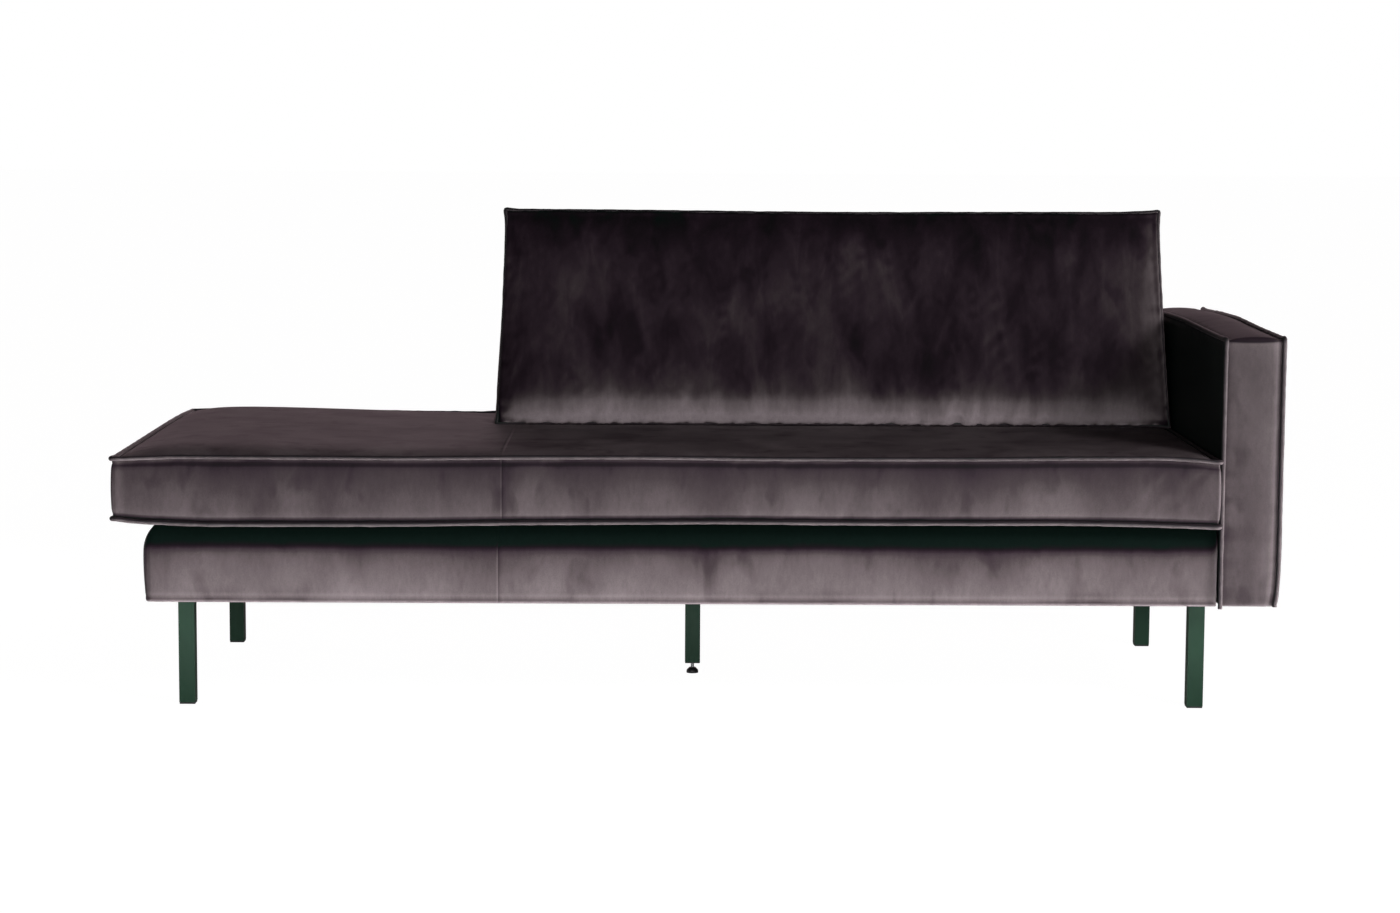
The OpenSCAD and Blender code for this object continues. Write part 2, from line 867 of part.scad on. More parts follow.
module frame_bolts() {
    color(zinc) {
        at_arm_bolts(inner_x1) bolt(m8, arm_wood_x0 + arm_rail_t - inner_x1 + 4);
        at_back_bolts(post_y0) bolt(m8, rail_y1 - post_y0 + 1);
    }
}

module frame_tee_nuts() {
    color(zinc) {
        at_arm_bolts(arm_wood_x0 + arm_rail_t) tee_nut(m8, 11);
        at_back_bolts(rail_y1) tee_nut(m8, 11);
    }
}

// ---------- Seat cushion ----------

module seat_layer(z0, z1, inset = cloth_t) {
    translate([0, 0, z0]) linear_extrude(z1 - z0) polygon(seat_outline(inset));
}

module seat_cushion_core() {
    color(foam_cream)
        seat_layer(seat_z0 + cloth_t + wadding_t, seat_z1 - cloth_t - wadding_t);
}

module seat_cushion_wadding() {
    color(wadding_white) {
        seat_layer(seat_z0 + cloth_t, seat_z0 + cloth_t + wadding_t, seam_depth);
        seat_layer(seat_z1 - cloth_t - wadding_t, seat_z1 - cloth_t, seam_depth);
    }
}

module seat_cushion_cover() {
    color(velvet) difference() {
        translate([0, 0, seat_z0]) linear_extrude(seat_t) polygon(seat_outline(0));
        seat_layer(seat_z0 + cloth_t, seat_z1 - cloth_t);
        block(
            [seat_zip_x[0], seat_y1 - cloth_t - cut, seat_zip_z - zip_w / 2],
            [seat_zip_x[1], seat_y1 + cut, seat_zip_z + zip_w / 2]
        );
    }
}

module seat_cushion_piping() {
    outline = seat_outline(pipe_in);
    color(piping_velvet) for (z = [seat_z0 + pipe_r, seat_z1 - pipe_r])
        cord([for (p = outline) [p.x, p.y, z]], pipe_r, [0, 0, 1], true);
}

module seat_zip() {
    tape = zip_w / 2 - 0.3;
    teeth = zip_teeth_w / 2;
    y0 = seat_y1 - cloth_t;
    color(brass_zip) {
        block(
            [seat_zip_x[0] + 0.5, y0, seat_zip_z - tape],
            [seat_zip_x[1] - 0.5, y0 + zip_tape_t, seat_zip_z + tape]
        );
        block(
            [seat_zip_x[0] + 4, y0 + zip_tape_t, seat_zip_z - teeth],
            [seat_zip_x[1] - 4, y0 + zip_tape_t + zip_teeth_t, seat_zip_z + teeth]
        );
    }
}

// A zip's outer plate and its pull tab, standing out along +Z from the teeth
module zip_slider() {
    block([0, -4, zip_air], [11, 4, zip_air + zip_plate_t]);
    block([1, -2, zip_air + zip_plate_t], [10, 2, zip_air + zip_plate_t + zip_tab_t]);
}

module seat_zip_slider() {
    teeth_y = seat_y1 - cloth_t + zip_tape_t + zip_teeth_t;
    color(zinc) translate([seat_zip_x[0] + 6, teeth_y, seat_zip_z]) rotate([-90, 0, 0]) zip_slider();
}

// ---------- Back cushion ----------

module pillow_channel() {
    block(
        [pillow_zip_x[0], pillow_zip_y - zip_w / 2 - 1, pillow_z0 - cut],
        [pillow_zip_x[1], pillow_zip_y + zip_w / 2 + 1, pillow_z0 + pillow_zip_depth]
    );
}

module back_cushion_fill() {
    color(wadding_white) difference() {
        union() {
            along_x(pillow_x0 + cloth_t, pillow_x1 - cloth_t)
                offset(delta = -seam_depth) polygon(pillow_profile);
            along_x(pillow_x0 + seam_depth, pillow_x1 - seam_depth) difference() {
                offset(delta = -cloth_t) polygon(pillow_profile);
                for (end = concat(pillow_pipe_front, [pillow_pipe_rear[0], pillow_pipe_rear[3]]))
                    translate(end) circle(r = pipe_r + 0.3);
            }
        }
        pillow_channel();
    }
}

module back_cushion_cover() {
    color(velvet) difference() {
        along_x(pillow_x0, pillow_x1) polygon(pillow_profile);
        along_x(pillow_x0 + cloth_t, pillow_x1 - cloth_t)
            offset(delta = -cloth_t) polygon(pillow_profile);
        pillow_channel();
    }
}

module back_cushion_piping() {
    x0 = pillow_x0 + pipe_in;
    x1 = pillow_x1 - pipe_in;
    front = concat(
        [for (p = pillow_pipe_front) [x0, p.x, p.y]],
        [for (k = [1 : -1 : 0]) [x1, pillow_pipe_front[k].x, pillow_pipe_front[k].y]]
    );
    rear = concat(
        [for (p = pillow_pipe_rear) [x0, p.x, p.y]],
        [for (k = [3 : -1 : 0]) [x1, pillow_pipe_rear[k].x, pillow_pipe_rear[k].y]]
    );
    across = [0, lean_back.x, lean_back.y];
    color(piping_velvet) {
        cord(curved(front, 10, 4, true), pipe_r, across, true);
        cord(curved(rear, 10, 4, true), pipe_r, across, true);
    }
}

module back_zip() {
    tape = zip_w / 2;
    teeth = zip_teeth_w / 2;
    z1 = pillow_z0 + pillow_zip_depth;
    color(brass_zip) {
        block(
            [pillow_zip_x[0] + 0.5, pillow_zip_y - tape, z1 - zip_tape_t],
            [pillow_zip_x[1] - 0.5, pillow_zip_y + tape, z1]
        );
        block(
            [pillow_zip_x[0] + 4, pillow_zip_y - teeth, z1 - zip_tape_t - zip_teeth_t],
            [pillow_zip_x[1] - 4, pillow_zip_y + teeth, z1 - zip_tape_t]
        );
    }
}

module back_zip_slider() {
    teeth_z = pillow_z0 + pillow_zip_depth - zip_tape_t - zip_teeth_t;
    color(zinc) translate([pillow_zip_x[0] + 6, pillow_zip_y, teeth_z]) rotate([180, 0, 0]) zip_slider();
}

base_front_rail();
base_rear_rail();
base_left_rail();
base_right_rail();
base_centre_rail();
base_cross_rails();
corner_blocks();
zigzag_springs();
spring_clips();
deck_felt();
base_foam();
base_cover();
dust_cover();
arm_front_post();
arm_rear_post();
arm_top_board();
arm_mounting_rail();
arm_bottom_rail();
arm_inner_panel();
arm_outer_panel();
arm_foam();
arm_cover();
arm_piping();
back_left_post();
back_right_post();
back_top_rail();
back_bottom_rail();
back_front_panel();
back_rear_panel();
back_frame_foam();
back_frame_cover();
back_frame_piping();
leg_front_left();
leg_front_right();
leg_rear_left();
leg_rear_right();
leg_glides();
leg_bolts();
leg_tee_nuts();
middle_leg();
middle_leg_insert();
levelling_pad();
levelling_stem();
frame_bolts();
frame_tee_nuts();
seat_cushion_core();
seat_cushion_wadding();
seat_cushion_cover();
seat_cushion_piping();
seat_zip();
seat_zip_slider();
back_cushion_fill();
back_cushion_cover();
back_cushion_piping();
back_zip();
back_zip_slider();
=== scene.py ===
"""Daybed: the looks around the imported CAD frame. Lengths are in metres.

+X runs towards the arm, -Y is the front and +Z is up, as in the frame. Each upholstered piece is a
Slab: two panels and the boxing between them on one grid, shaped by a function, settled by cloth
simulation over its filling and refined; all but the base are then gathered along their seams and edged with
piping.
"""

import json
from math import cos, pi, sin

import bpy
import numpy as np
from mathutils import Matrix, Vector
from mathutils.kdtree import KDTree


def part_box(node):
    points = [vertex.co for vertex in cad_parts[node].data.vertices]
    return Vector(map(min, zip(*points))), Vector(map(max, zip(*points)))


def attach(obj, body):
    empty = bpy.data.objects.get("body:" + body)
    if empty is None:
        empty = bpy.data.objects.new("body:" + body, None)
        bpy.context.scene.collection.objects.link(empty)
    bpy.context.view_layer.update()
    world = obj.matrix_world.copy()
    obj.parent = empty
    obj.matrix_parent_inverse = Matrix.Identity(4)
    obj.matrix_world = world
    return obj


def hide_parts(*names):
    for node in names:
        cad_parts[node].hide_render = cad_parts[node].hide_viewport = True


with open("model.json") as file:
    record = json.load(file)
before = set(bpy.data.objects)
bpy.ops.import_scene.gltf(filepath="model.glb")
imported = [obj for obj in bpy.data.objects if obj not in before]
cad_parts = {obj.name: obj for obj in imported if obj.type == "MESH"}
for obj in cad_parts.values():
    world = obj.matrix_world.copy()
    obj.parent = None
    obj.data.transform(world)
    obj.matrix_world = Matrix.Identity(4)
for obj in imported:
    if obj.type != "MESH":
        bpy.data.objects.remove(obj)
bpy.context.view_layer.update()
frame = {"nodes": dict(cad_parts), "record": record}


def limits(node):
    """A CAD node's lowest and highest corners, as arrays."""
    low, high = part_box(node)
    return np.array(low), np.array(high)


# ---------- Camera, floor and light ----------

CAMERA_AT = Vector((-0.042, -5.822, 1.061))
CAMERA_YAW = 0.0086
CAMERA_PITCH = 0.1126
CAMERA_ROLL = 0.0058
CAMERA_LENS_MM = 81.27


def add_camera():
    forward = Vector((
        sin(CAMERA_YAW) * cos(CAMERA_PITCH),
        cos(CAMERA_YAW) * cos(CAMERA_PITCH),
        -sin(CAMERA_PITCH),
    ))
    level = Vector((cos(CAMERA_YAW), -sin(CAMERA_YAW), 0))
    raised = level.cross(forward)
    right = cos(CAMERA_ROLL) * level + sin(CAMERA_ROLL) * raised
    up = cos(CAMERA_ROLL) * raised - sin(CAMERA_ROLL) * level
    data = bpy.data.cameras.new("camera")
    data.sensor_width = 36
    data.lens = CAMERA_LENS_MM
    camera = bpy.data.objects.new("camera", data)
    turned = Matrix((right, up, -forward)).transposed().to_4x4()
    camera.matrix_world = Matrix.Translation(CAMERA_AT) @ turned
    bpy.context.collection.objects.link(camera)
    bpy.context.scene.camera = camera


def add_area_light(name, at, towards, size, power, spread=pi):
    data = bpy.data.lights.new(name, "AREA")
    data.shape = "RECTANGLE"
    data.size, data.size_y = size
    data.energy = power
    data.spread = spread
    light = bpy.data.objects.new(name, data)
    light.location = at
    light.rotation_euler = (Vector(towards) - Vector(at)).to_track_quat("-Z", "Y").to_euler()
    light.visible_camera = False
    bpy.context.collection.objects.link(light)


def new_node(tree, kind, **settings):
    node = tree.nodes.new("ShaderNode" + kind)
    for key, value in settings.items():
        setattr(node, key, value)
    return node


def colour_ramp(tree, value, stops):
    """Colours along a value from 0 to 1."""
    node = new_node(tree, "ValToRGB")
    elements = node.color_ramp.elements
    while len(elements) < len(stops):
        elements.new(0.5)
    for element, (position, colour) in zip(elements, stops):
        element.position = position
        element.color = (*colour, 1)
    tree.links.new(value, node.inputs["Fac"])
    return node.outputs["Color"]


def mixed(tree, share, first, second):
    """One shader where share is 0 and another where it is 1."""
    mix = new_node(tree, "MixShader")
    for source, socket in zip((share, first, second), mix.inputs):
        tree.links.new(source, socket)
    return mix.outputs["Shader"]


def grey(level):
    return level, level, level


# The surround's light by direction, from 0 to 1: from straight down to straight up, and from the front
# to the rear
LIGHT_BY_HEIGHT = ((0.53, grey(0.60)), (0.74, grey(0.05)))
LIGHT_BY_DEPTH = ((0.0, grey(0.34)), (0.5, grey(0.20)), (1.0, (2.95, 2.15, 2.35)))


def add_world():
    """A white surround for the camera.

    As a light it is brightest low down behind, and dim at the sides and overhead.
    """
    world = bpy.data.worlds.new("studio")
    bpy.context.scene.world = world
    world.use_nodes = True
    tree = world.node_tree
    tree.nodes.clear()
    link = tree.links.new
    split = new_node(tree, "SeparateXYZ")
    link(new_node(tree, "TexCoord").outputs["Generated"], split.inputs[0])
    both = new_node(tree, "VectorMath", operation="MULTIPLY")
    for axis, stops, socket in zip("ZY", (LIGHT_BY_HEIGHT, LIGHT_BY_DEPTH), both.inputs):
        share = new_node(tree, "MapRange")
        share.inputs["From Min"].default_value = -1
        link(split.outputs[axis], share.inputs["Value"])
        link(colour_ramp(tree, share.outputs["Result"], stops), socket)
    lit, seen = new_node(tree, "Background"), new_node(tree, "Background")
    link(both.outputs["Vector"], lit.inputs["Color"])
    seen.inputs["Color"].default_value = (1, 1, 1, 1)
    by_camera = new_node(tree, "LightPath").outputs["Is Camera Ray"]
    surface = mixed(tree, by_camera, lit.outputs["Background"], seen.outputs["Background"])
    link(surface, new_node(tree, "OutputWorld").inputs["Surface"])


FLOOR_HALF = 40


def add_floor():
    """A plain white floor, clear from below.

    To the camera it glows, so that it meets the surround without a line.
    """
    material = bpy.data.materials.new("floor_white")
    material.use_nodes = True
    tree = material.node_tree
    shader = tree.nodes["Principled BSDF"]
    shader.inputs["Base Color"].default_value = (*grey(0.78), 1)
    shader.inputs["Roughness"].default_value = 0.9
    shader.inputs["Specular IOR Level"].default_value = 0.0
    glow = new_node(tree, "Emission")
    glow.inputs["Strength"].default_value = 0.985
    soft = new_node(tree, "BsdfDiffuse")
    soft.inputs["Color"].default_value = (*grey(0.09), 1)
    seen = new_node(tree, "AddShader")
    tree.links.new(glow.outputs[0], seen.inputs[0])
    tree.links.new(soft.outputs[0], seen.inputs[1])
    by_camera = new_node(tree, "LightPath").outputs["Is Camera Ray"]
    above = mixed(tree, by_camera, shader.outputs[0], seen.outputs[0])
    from_below = new_node(tree, "NewGeometry").outputs["Backfacing"]
    surface = mixed(tree, from_below, above, new_node(tree, "BsdfTransparent").outputs[0])
    tree.links.new(surface, tree.nodes["Material Output"].inputs["Surface"])
    mesh = bpy.data.meshes.new("floor")
    corners = [(FLOOR_HALF * x, FLOOR_HALF * y, 0) for x, y in ((-1, -1), (1, -1), (1, 1), (-1, 1))]
    mesh.from_pydata(corners, [], [(0, 1, 2, 3)])
    mesh.materials.append(material)
    floor = bpy.data.objects.new("floor", mesh)
    bpy.context.collection.objects.link(floor)


# ---------- Materials ----------

class Nodes:
    """Short calls for building one material's node tree."""

    def __init__(self, name):
        self.material = bpy.data.materials.new(name)
        self.material.use_nodes = True
        self.tree = self.material.node_tree
        self.shader = self.tree.nodes["Principled BSDF"]
        self.coords = self.tree.nodes.new("ShaderNodeTexCoord")

    def link(self, source, target):
        self.tree.links.new(source, target)

    def add(self, kind, **settings):
        return new_node(self.tree, kind, **settings)

    def stretched(self, scale):
        """Object coordinates, scaled apart on each axis."""
        mapping = self.add("Mapping")
        mapping.inputs["Scale"].default_value = scale
        self.link(self.coords.outputs["Object"], mapping.inputs["Vector"])
        return mapping.outputs["Vector"]

    def noise(self, scale=(1, 1, 1), detail=3.0, rough=0.5, warp=0.0):
        node = self.add("TexNoise")
        node.inputs["Scale"].default_value = 1
        node.inputs["Detail"].default_value = detail
        node.inputs["Roughness"].default_value = rough
        node.inputs["Distortion"].default_value = warp
        self.link(self.stretched(scale), node.inputs["Vector"])
        return node.outputs["Fac"]

    def ramp(self, value, stops):
        return colour_ramp(self.tree, value, stops)

    def fit(self, value, low, high, to_low=0.0, to_high=1.0):
        node = self.add("MapRange")
        for name, number in zip(("From Min", "From Max", "To Min", "To Max"), (low, high, to_low, to_high)):
            node.inputs[name].default_value = number
        self.link(value, node.inputs["Value"])
        return node.outputs["Result"]

    def maths(self, operation, a, b):
        node = self.add("Math", operation=operation)
        for socket, value in zip(node.inputs, (a, b)):
            if isinstance(value, (int, float)):
                socket.default_value = value
            else:
                self.link(value, socket)
        return node.outputs["Value"]

    def scaled(self, colour, value):
        """A colour times a value."""
        node = self.add("VectorMath", operation="SCALE")
        self.link(colour, node.inputs[0])
        self.link(value, node.inputs["Scale"])
        return node.outputs["Vector"]

    def bump(self, height, strength, depth, under=None):
        node = self.add("Bump")
        node.inputs["Strength"].default_value = strength
        node.inputs["Distance"].default_value = depth
        self.link(height, node.inputs["Height"])
        if under is not None:
            self.link(under, node.inputs["Normal"])
        return node.outputs["Normal"]

    def finish(self, colour=None, rough=0.5, metal=0.0, normal=None, **constants):
        shader = self.shader
        if colour is not None:
            self.link(colour, shader.inputs["Base Color"])
        if isinstance(rough, (int, float)):
            shader.inputs["Roughness"].default_value = rough
        else:
            self.link(rough, shader.inputs["Roughness"])
        shader.inputs["Metallic"].default_value = metal
        if normal is not None:
            self.link(normal, shader.inputs["Normal"])
        for name, value in constants.items():
            shader.inputs[name.replace("_", " ")].default_value = value
        return self.material


# Velvet colour by darkness: 0 is the palest and 1 the darkest. The pile lies down and forwards, but most of
# the darkening of faces that look up or to the left, and the paleness of faces that look down, is painted
# shade and painted light.
NAP_AND_PAINTED_SHADE_STOPS = [
    (0.00, (0.380, 0.318, 0.340)),
    (0.20, (0.245, 0.205, 0.216)),
    (0.38, (0.130, 0.106, 0.112)),
    (0.52, (0.060, 0.0455, 0.0505)),
    (0.64, (0.031, 0.0200, 0.0275)),
    (0.74, (0.0165, 0.0098, 0.0148)),
    (0.86, (0.0080, 0.0060, 0.0078)),
    # Green-black: the painted colour of deep shadow
    (1.00, (0.0030, 0.0085, 0.0066)),
]
# Painted shade and painted light by the upward lean of the surface: darkness against the normal's Z from -1
# to 1, as 0 to 1
LEAN_PAINTED_SHADE_POINTS = [
    (0.0, 0.0), (0.25, 0.06), (0.35, 0.20), (0.425, 0.32), (0.50, 0.42), (0.55, 0.54), (0.64, 0.74),
]


def sewn_join(n, looking, at, normal):
    """A join sewn at one X in upright faces: its normal, and the darkness of the painted highlight and
    painted shade along its edges.
    """
    place = n.add("SeparateXYZ")
    n.link(n.coords.outputs["Object"], place.inputs[0])
    across = n.maths("SUBTRACT", place.outputs["X"], at)
    upright = n.fit(n.maths("ABSOLUTE", looking.outputs["Z"], 0), 0.5, 0.7, 1.0, 0.0)
    gap = n.maths("ABSOLUTE", across, 0)
    normal = n.bump(n.fit(gap, 0.0, 0.004), 0.5, 0.002, normal)
    # Red is the painted highlight on one edge and green the painted shade on the other
    line = n.ramp(n.fit(across, -0.004, 0.010), [
        (0.12, (0, 0, 0)), (0.20, (1, 0, 0)), (0.32, (1, 0, 0)),
        (0.40, (0, 1, 0)), (0.50, (0, 0.5, 0)), (0.95, (0, 0, 0)),
    ])
    edges = n.add("SeparateXYZ")
    n.link(line, edges.inputs[0])
    added = n.maths("MULTIPLY", edges.outputs["Y"], 0.12)
    taken = n.maths("MULTIPLY", edges.outputs["X"], 0.07)
    return normal, n.maths("MULTIPLY", n.maths("SUBTRACT", added, taken), upright)


def velvet(
    name, darker=0.0, up=0.86, left=0.5, shade_span=(-1, 1), streak=(11, 11, 3), brush=0.05, shine=0.12, join=None,
):
    """Cut-pile velvet: brushed patches and a fine pile, on a colour with painted shade and painted light by
    the way each face looks.

    up is the painted shade of faces that look straight up, left is the painted shade that looking left adds
    and darker is added everywhere; faces that look right get painted light. shade_span is the range of the
    normal's Z that the painted shade curve spans. brush is how far the patches stray. join is the X of a sewn
    join in the cloth's upright faces.
    """
    n = Nodes(name)
    split = n.add("SeparateXYZ")
    n.link(n.coords.outputs["Normal"], split.inputs[0])
    # Painted shade on faces that look up and painted light on faces that look down
    by_lean = n.add("FloatCurve")
    curve = by_lean.mapping.curves[0]
    curve.points[0].location = LEAN_PAINTED_SHADE_POINTS[0]
    curve.points[1].location = (1.0, up)
    for point in LEAN_PAINTED_SHADE_POINTS[1:] + [(0.75, (0.74 + 2 * up) / 3)]:
        curve.points.new(*point)
    by_lean.mapping.update()
    n.link(n.fit(split.outputs["Z"], *shade_span), by_lean.inputs["Value"])
    brushed = n.noise(streak, detail=2.5, rough=0.5, warp=0.5)
    patches = n.noise((5.5, 5.5, 4.0), detail=3, rough=0.5, warp=0.5)
    rubbed = n.noise((24, 24, 12), detail=2, rough=0.45, warp=0.3)
    painted_seam_shade = n.add("Attribute", attribute_name="painted_seam_shade")
    dark = by_lean.outputs["Value"]
    shades = [
        # Painted shade on faces that look left
        n.fit(split.outputs["X"], -0.3, -1.0, darker, darker + left),
        # Painted light on faces that look right
        n.fit(split.outputs["X"], 0.02, 0.55, 0.0, -0.36),
        n.fit(brushed, 0.3, 0.7, -brush, brush),
        n.fit(patches, 0.3, 0.7, -brush, brush),
        n.fit(rubbed, 0.58, 0.75, 0.0, 0.08),
        # Painted shade in the creases beside seams
        n.maths("MULTIPLY", painted_seam_shade.outputs["Fac"], 0.5),
    ]
    pile = n.noise((900, 900, 500), detail=2)
    fuzz = n.noise((150, 150, 60), detail=3)
    normal = n.bump(fuzz, 0.25, 0.0012)
    normal = n.bump(pile, 0.35, 0.0004, normal)
    if join is not None:
        normal, shade = sewn_join(n, split, join, normal)
        shades.append(shade)
    for shade in shades:
        dark = n.maths("ADD", dark, shade)
    colour = n.ramp(dark, NAP_AND_PAINTED_SHADE_STOPS)
    tone = n.maths("MULTIPLY", n.fit(pile, 0.3, 0.7, 0.90, 1.10), n.fit(fuzz, 0.3, 0.7, 0.93, 1.07))
    return n.finish(n.scaled(colour, tone), rough=0.62, normal=normal, Specular_IOR_Level=shine)


def powder_coat():
    n = Nodes("green_powder_coat")
    speckle = n.noise((900, 900, 900), detail=2)
    cloud = n.noise((14, 14, 14), detail=3)
    colour = n.ramp(cloud, [(0.3, (0.018, 0.052, 0.031)), (0.7, (0.024, 0.064, 0.039))])
    return n.finish(
        colour, rough=n.fit(cloud, 0.3, 0.7, 0.40, 0.52), normal=n.bump(speckle, 0.25, 0.0003),
        Specular_IOR_Level=0.12,
    )


def zinc():
    n = Nodes("zinc_plate")
    spangle = n.add("TexVoronoi")
    spangle.inputs["Scale"].default_value = 260
    n.link(n.coords.outputs["Object"], spangle.inputs["Vector"])
    rub = n.noise((60, 60, 900), detail=3)
    colour = n.ramp(spangle.outputs["Distance"], [(0.0, (0.62, 0.63, 0.64)), (0.8, (0.46, 0.47, 0.49))])
    normal = n.bump(rub, 0.1, 0.0002)
    return n.finish(colour, rough=n.fit(rub, 0.3, 0.7, 0.24, 0.42), metal=1.0, normal=normal)


def black_plastic():
    n = Nodes("black_moulded_plastic")
    grain = n.noise((700, 700, 700), detail=2)
    colour = n.ramp(grain, [(0.3, (0.008, 0.008, 0.009)), (0.7, (0.014, 0.014, 0.015))])
    return n.finish(colour, rough=n.fit(grain, 0.3, 0.7, 0.42, 0.58), normal=n.bump(grain, 0.3, 0.0002))


def wood(name, pale, dark, grain=(4, 60, 60), rough=0.62):
    """Sawn wood or board, its grain along X unless told otherwise."""
    n = Nodes(name)
    rings = n.noise(grain, detail=6, rough=0.6, warp=1.2)
    pores = n.noise(tuple(8 * g for g in grain), detail=3)
    colour = n.ramp(rings, [(0.30, dark), (0.50, pale), (0.72, dark)])
    tone = n.fit(pores, 0.3, 0.7, 0.85, 1.1)
    return n.finish(n.scaled(colour, tone), rough=rough, normal=n.bump(pores, 0.3, 0.0006))


def hardboard():
    n = Nodes("pressed_hardboard")
    fibre = n.noise((120, 120, 120), detail=5, rough=0.7)
    colour = n.ramp(fibre, [(0.3, (0.10, 0.055, 0.030)), (0.7, (0.19, 0.11, 0.062))])
    return n.finish(colour, rough=0.6, normal=n.bump(fibre, 0.2, 0.0004))


def fibre(name, dark, pale, scale=220, rough=0.95):
    """Felt, wadding or foam: matt, with short random fibres or cells."""
    n = Nodes(name)
    strands = n.noise((scale, scale, scale), detail=5, rough=0.7, warp=1.5)
    colour = n.ramp(strands, [(0.3, dark), (0.7, pale)])
    return n.finish(colour, rough=rough, normal=n.bump(strands, 0.5, 0.001), Specular_IOR_Level=0.1)


def spunbond():
    """The thin black cloth under a sofa, with its grid of small bonding points."""
    n = Nodes("black_spunbond")
    points = n.add("TexVoronoi", feature="F1")
    points.inputs["Scale"].default_value = 420
    points.inputs["Randomness"].default_value = 0.12
    n.link(n.coords.outputs["Object"], points.inputs["Vector"])
    web = n.noise((300, 300, 300), detail=4, warp=1.0)
    tone = n.maths("MULTIPLY", n.fit(points.outputs["Distance"], 0.0, 0.5, 0.6, 1.2), web)
    colour = n.ramp(tone, [(0.2, (0.010, 0.010, 0.011)), (0.8, (0.030, 0.030, 0.033))])
    return n.finish(colour, rough=0.85, normal=n.bump(points.outputs["Distance"], 0.4, 0.0004))


def zip_nylon():
    n = Nodes("dark_zip_nylon")
    weave = n.noise((900, 900, 900), detail=2)
    colour = n.ramp(weave, [(0.3, (0.030, 0.024, 0.027)), (0.7, (0.060, 0.050, 0.054))])
    return n.finish(colour, rough=0.5, normal=n.bump(weave, 0.4, 0.0002))


SEAT_JOIN_X = -0.337
BASE_JOIN_X = -0.345
MATERIALS = {
    "velvet": velvet("dark_velvet", darker=0.05),
    "powder_coat": powder_coat(),
    "zinc": zinc(),
    "black_plastic": black_plastic(),
    "pine": wood("sawn_pine", (0.52, 0.36, 0.19), (0.38, 0.24, 0.11)),
    "plywood": wood("birch_plywood", (0.50, 0.36, 0.21), (0.36, 0.24, 0.12), grain=(12, 12, 300)),
    "hardboard": hardboard(),
    "foam": fibre("cream_foam", (0.62, 0.54, 0.34), (0.76, 0.69, 0.48), scale=500),
    "wadding": fibre("white_wadding", (0.70, 0.70, 0.68), (0.88, 0.88, 0.86), scale=160),
    "felt": fibre("grey_felt", (0.14, 0.14, 0.15), (0.34, 0.34, 0.35), scale=300),
    "dust_fabric": spunbond(),
    "zip": zip_nylon(),
}
# Each piece's velvet is the same velvet, painted darker or paler for the light that falls on that piece
SEAT_VELVET = velvet(
    "seat_velvet", darker=0.08, up=0.285, left=0.15, shade_span=(-1.5, 1.5), shine=0.12, join=SEAT_JOIN_X,
)
# The base's top roll is painted green-black: painted shadow under the seat's overhang
BASE_VELVET = velvet(
    "base_velvet", darker=-0.05, up=1.25, left=0.25, shade_span=(-0.6, 0.55), brush=0.04, shine=0.03,
    join=BASE_JOIN_X,
)
# The arm's inner side is painted near-black: painted shade
ARM_VELVET = velvet("arm_velvet", darker=0.04, up=0.62, left=0.95, shine=0.14)
PILLOW_VELVET = velvet(
    "back_cushion_velvet", darker=-0.12, up=0.98, left=0.15, streak=(24, 24, 3.5), brush=0.08, shine=0.04,
)
# The piping's top is painted pale: a painted highlight
PIPING_VELVET = velvet(
    "piping_velvet", darker=0.12, up=0.3, shade_span=(-2, 2), streak=(60, 60, 60), shine=0.45,
)


def dress_cad_nodes():
    """Gives every carried-over CAD node the procedural material of its slot."""
    for part in frame["record"]["subparts"]:
        node = frame["nodes"][part["node"]]
        node.data.materials.clear()
        node.data.materials.append(MATERIALS[part["material_slot"]])


# ---------- Slabs ----------

EDGE_ROWS = (0.0, 0.005, 0.011, 0.019, 0.030, 0.045)


def stations(low, high, step, fixed=()):
    """Grid lines from low to high: close together near both ends, and one at each fixed place."""
    edges = [low + e for e in EDGE_ROWS] + [high - e for e in EDGE_ROWS] + list(fixed)
    inner = np.arange(low + EDGE_ROWS[-1] + step, high - EDGE_ROWS[-1] - step / 2, step)
    kept = [x for x in inner if all(abs(x - f) > step / 2 for f in fixed)]
    return np.array(sorted(set(edges + kept)))


def wavy(points, wavelength, seed, waves=14):
    """Smooth noise of about -1 to 1 at each point, from a fixed set of sine waves."""
    rng = np.random.default_rng(seed)
    directions = rng.normal(size=(waves, 3))
    directions /= np.linalg.norm(directions, axis=1)[:, None]
    rates = 2 * pi / (np.asarray(wavelength) * rng.uniform(0.7, 1.6, size=(waves, 1)))
    phases = rng.uniform(0, 2 * pi, waves)
    return np.sin(points @ (directions * rates).T + phases).sum(1) / np.sqrt(waves)


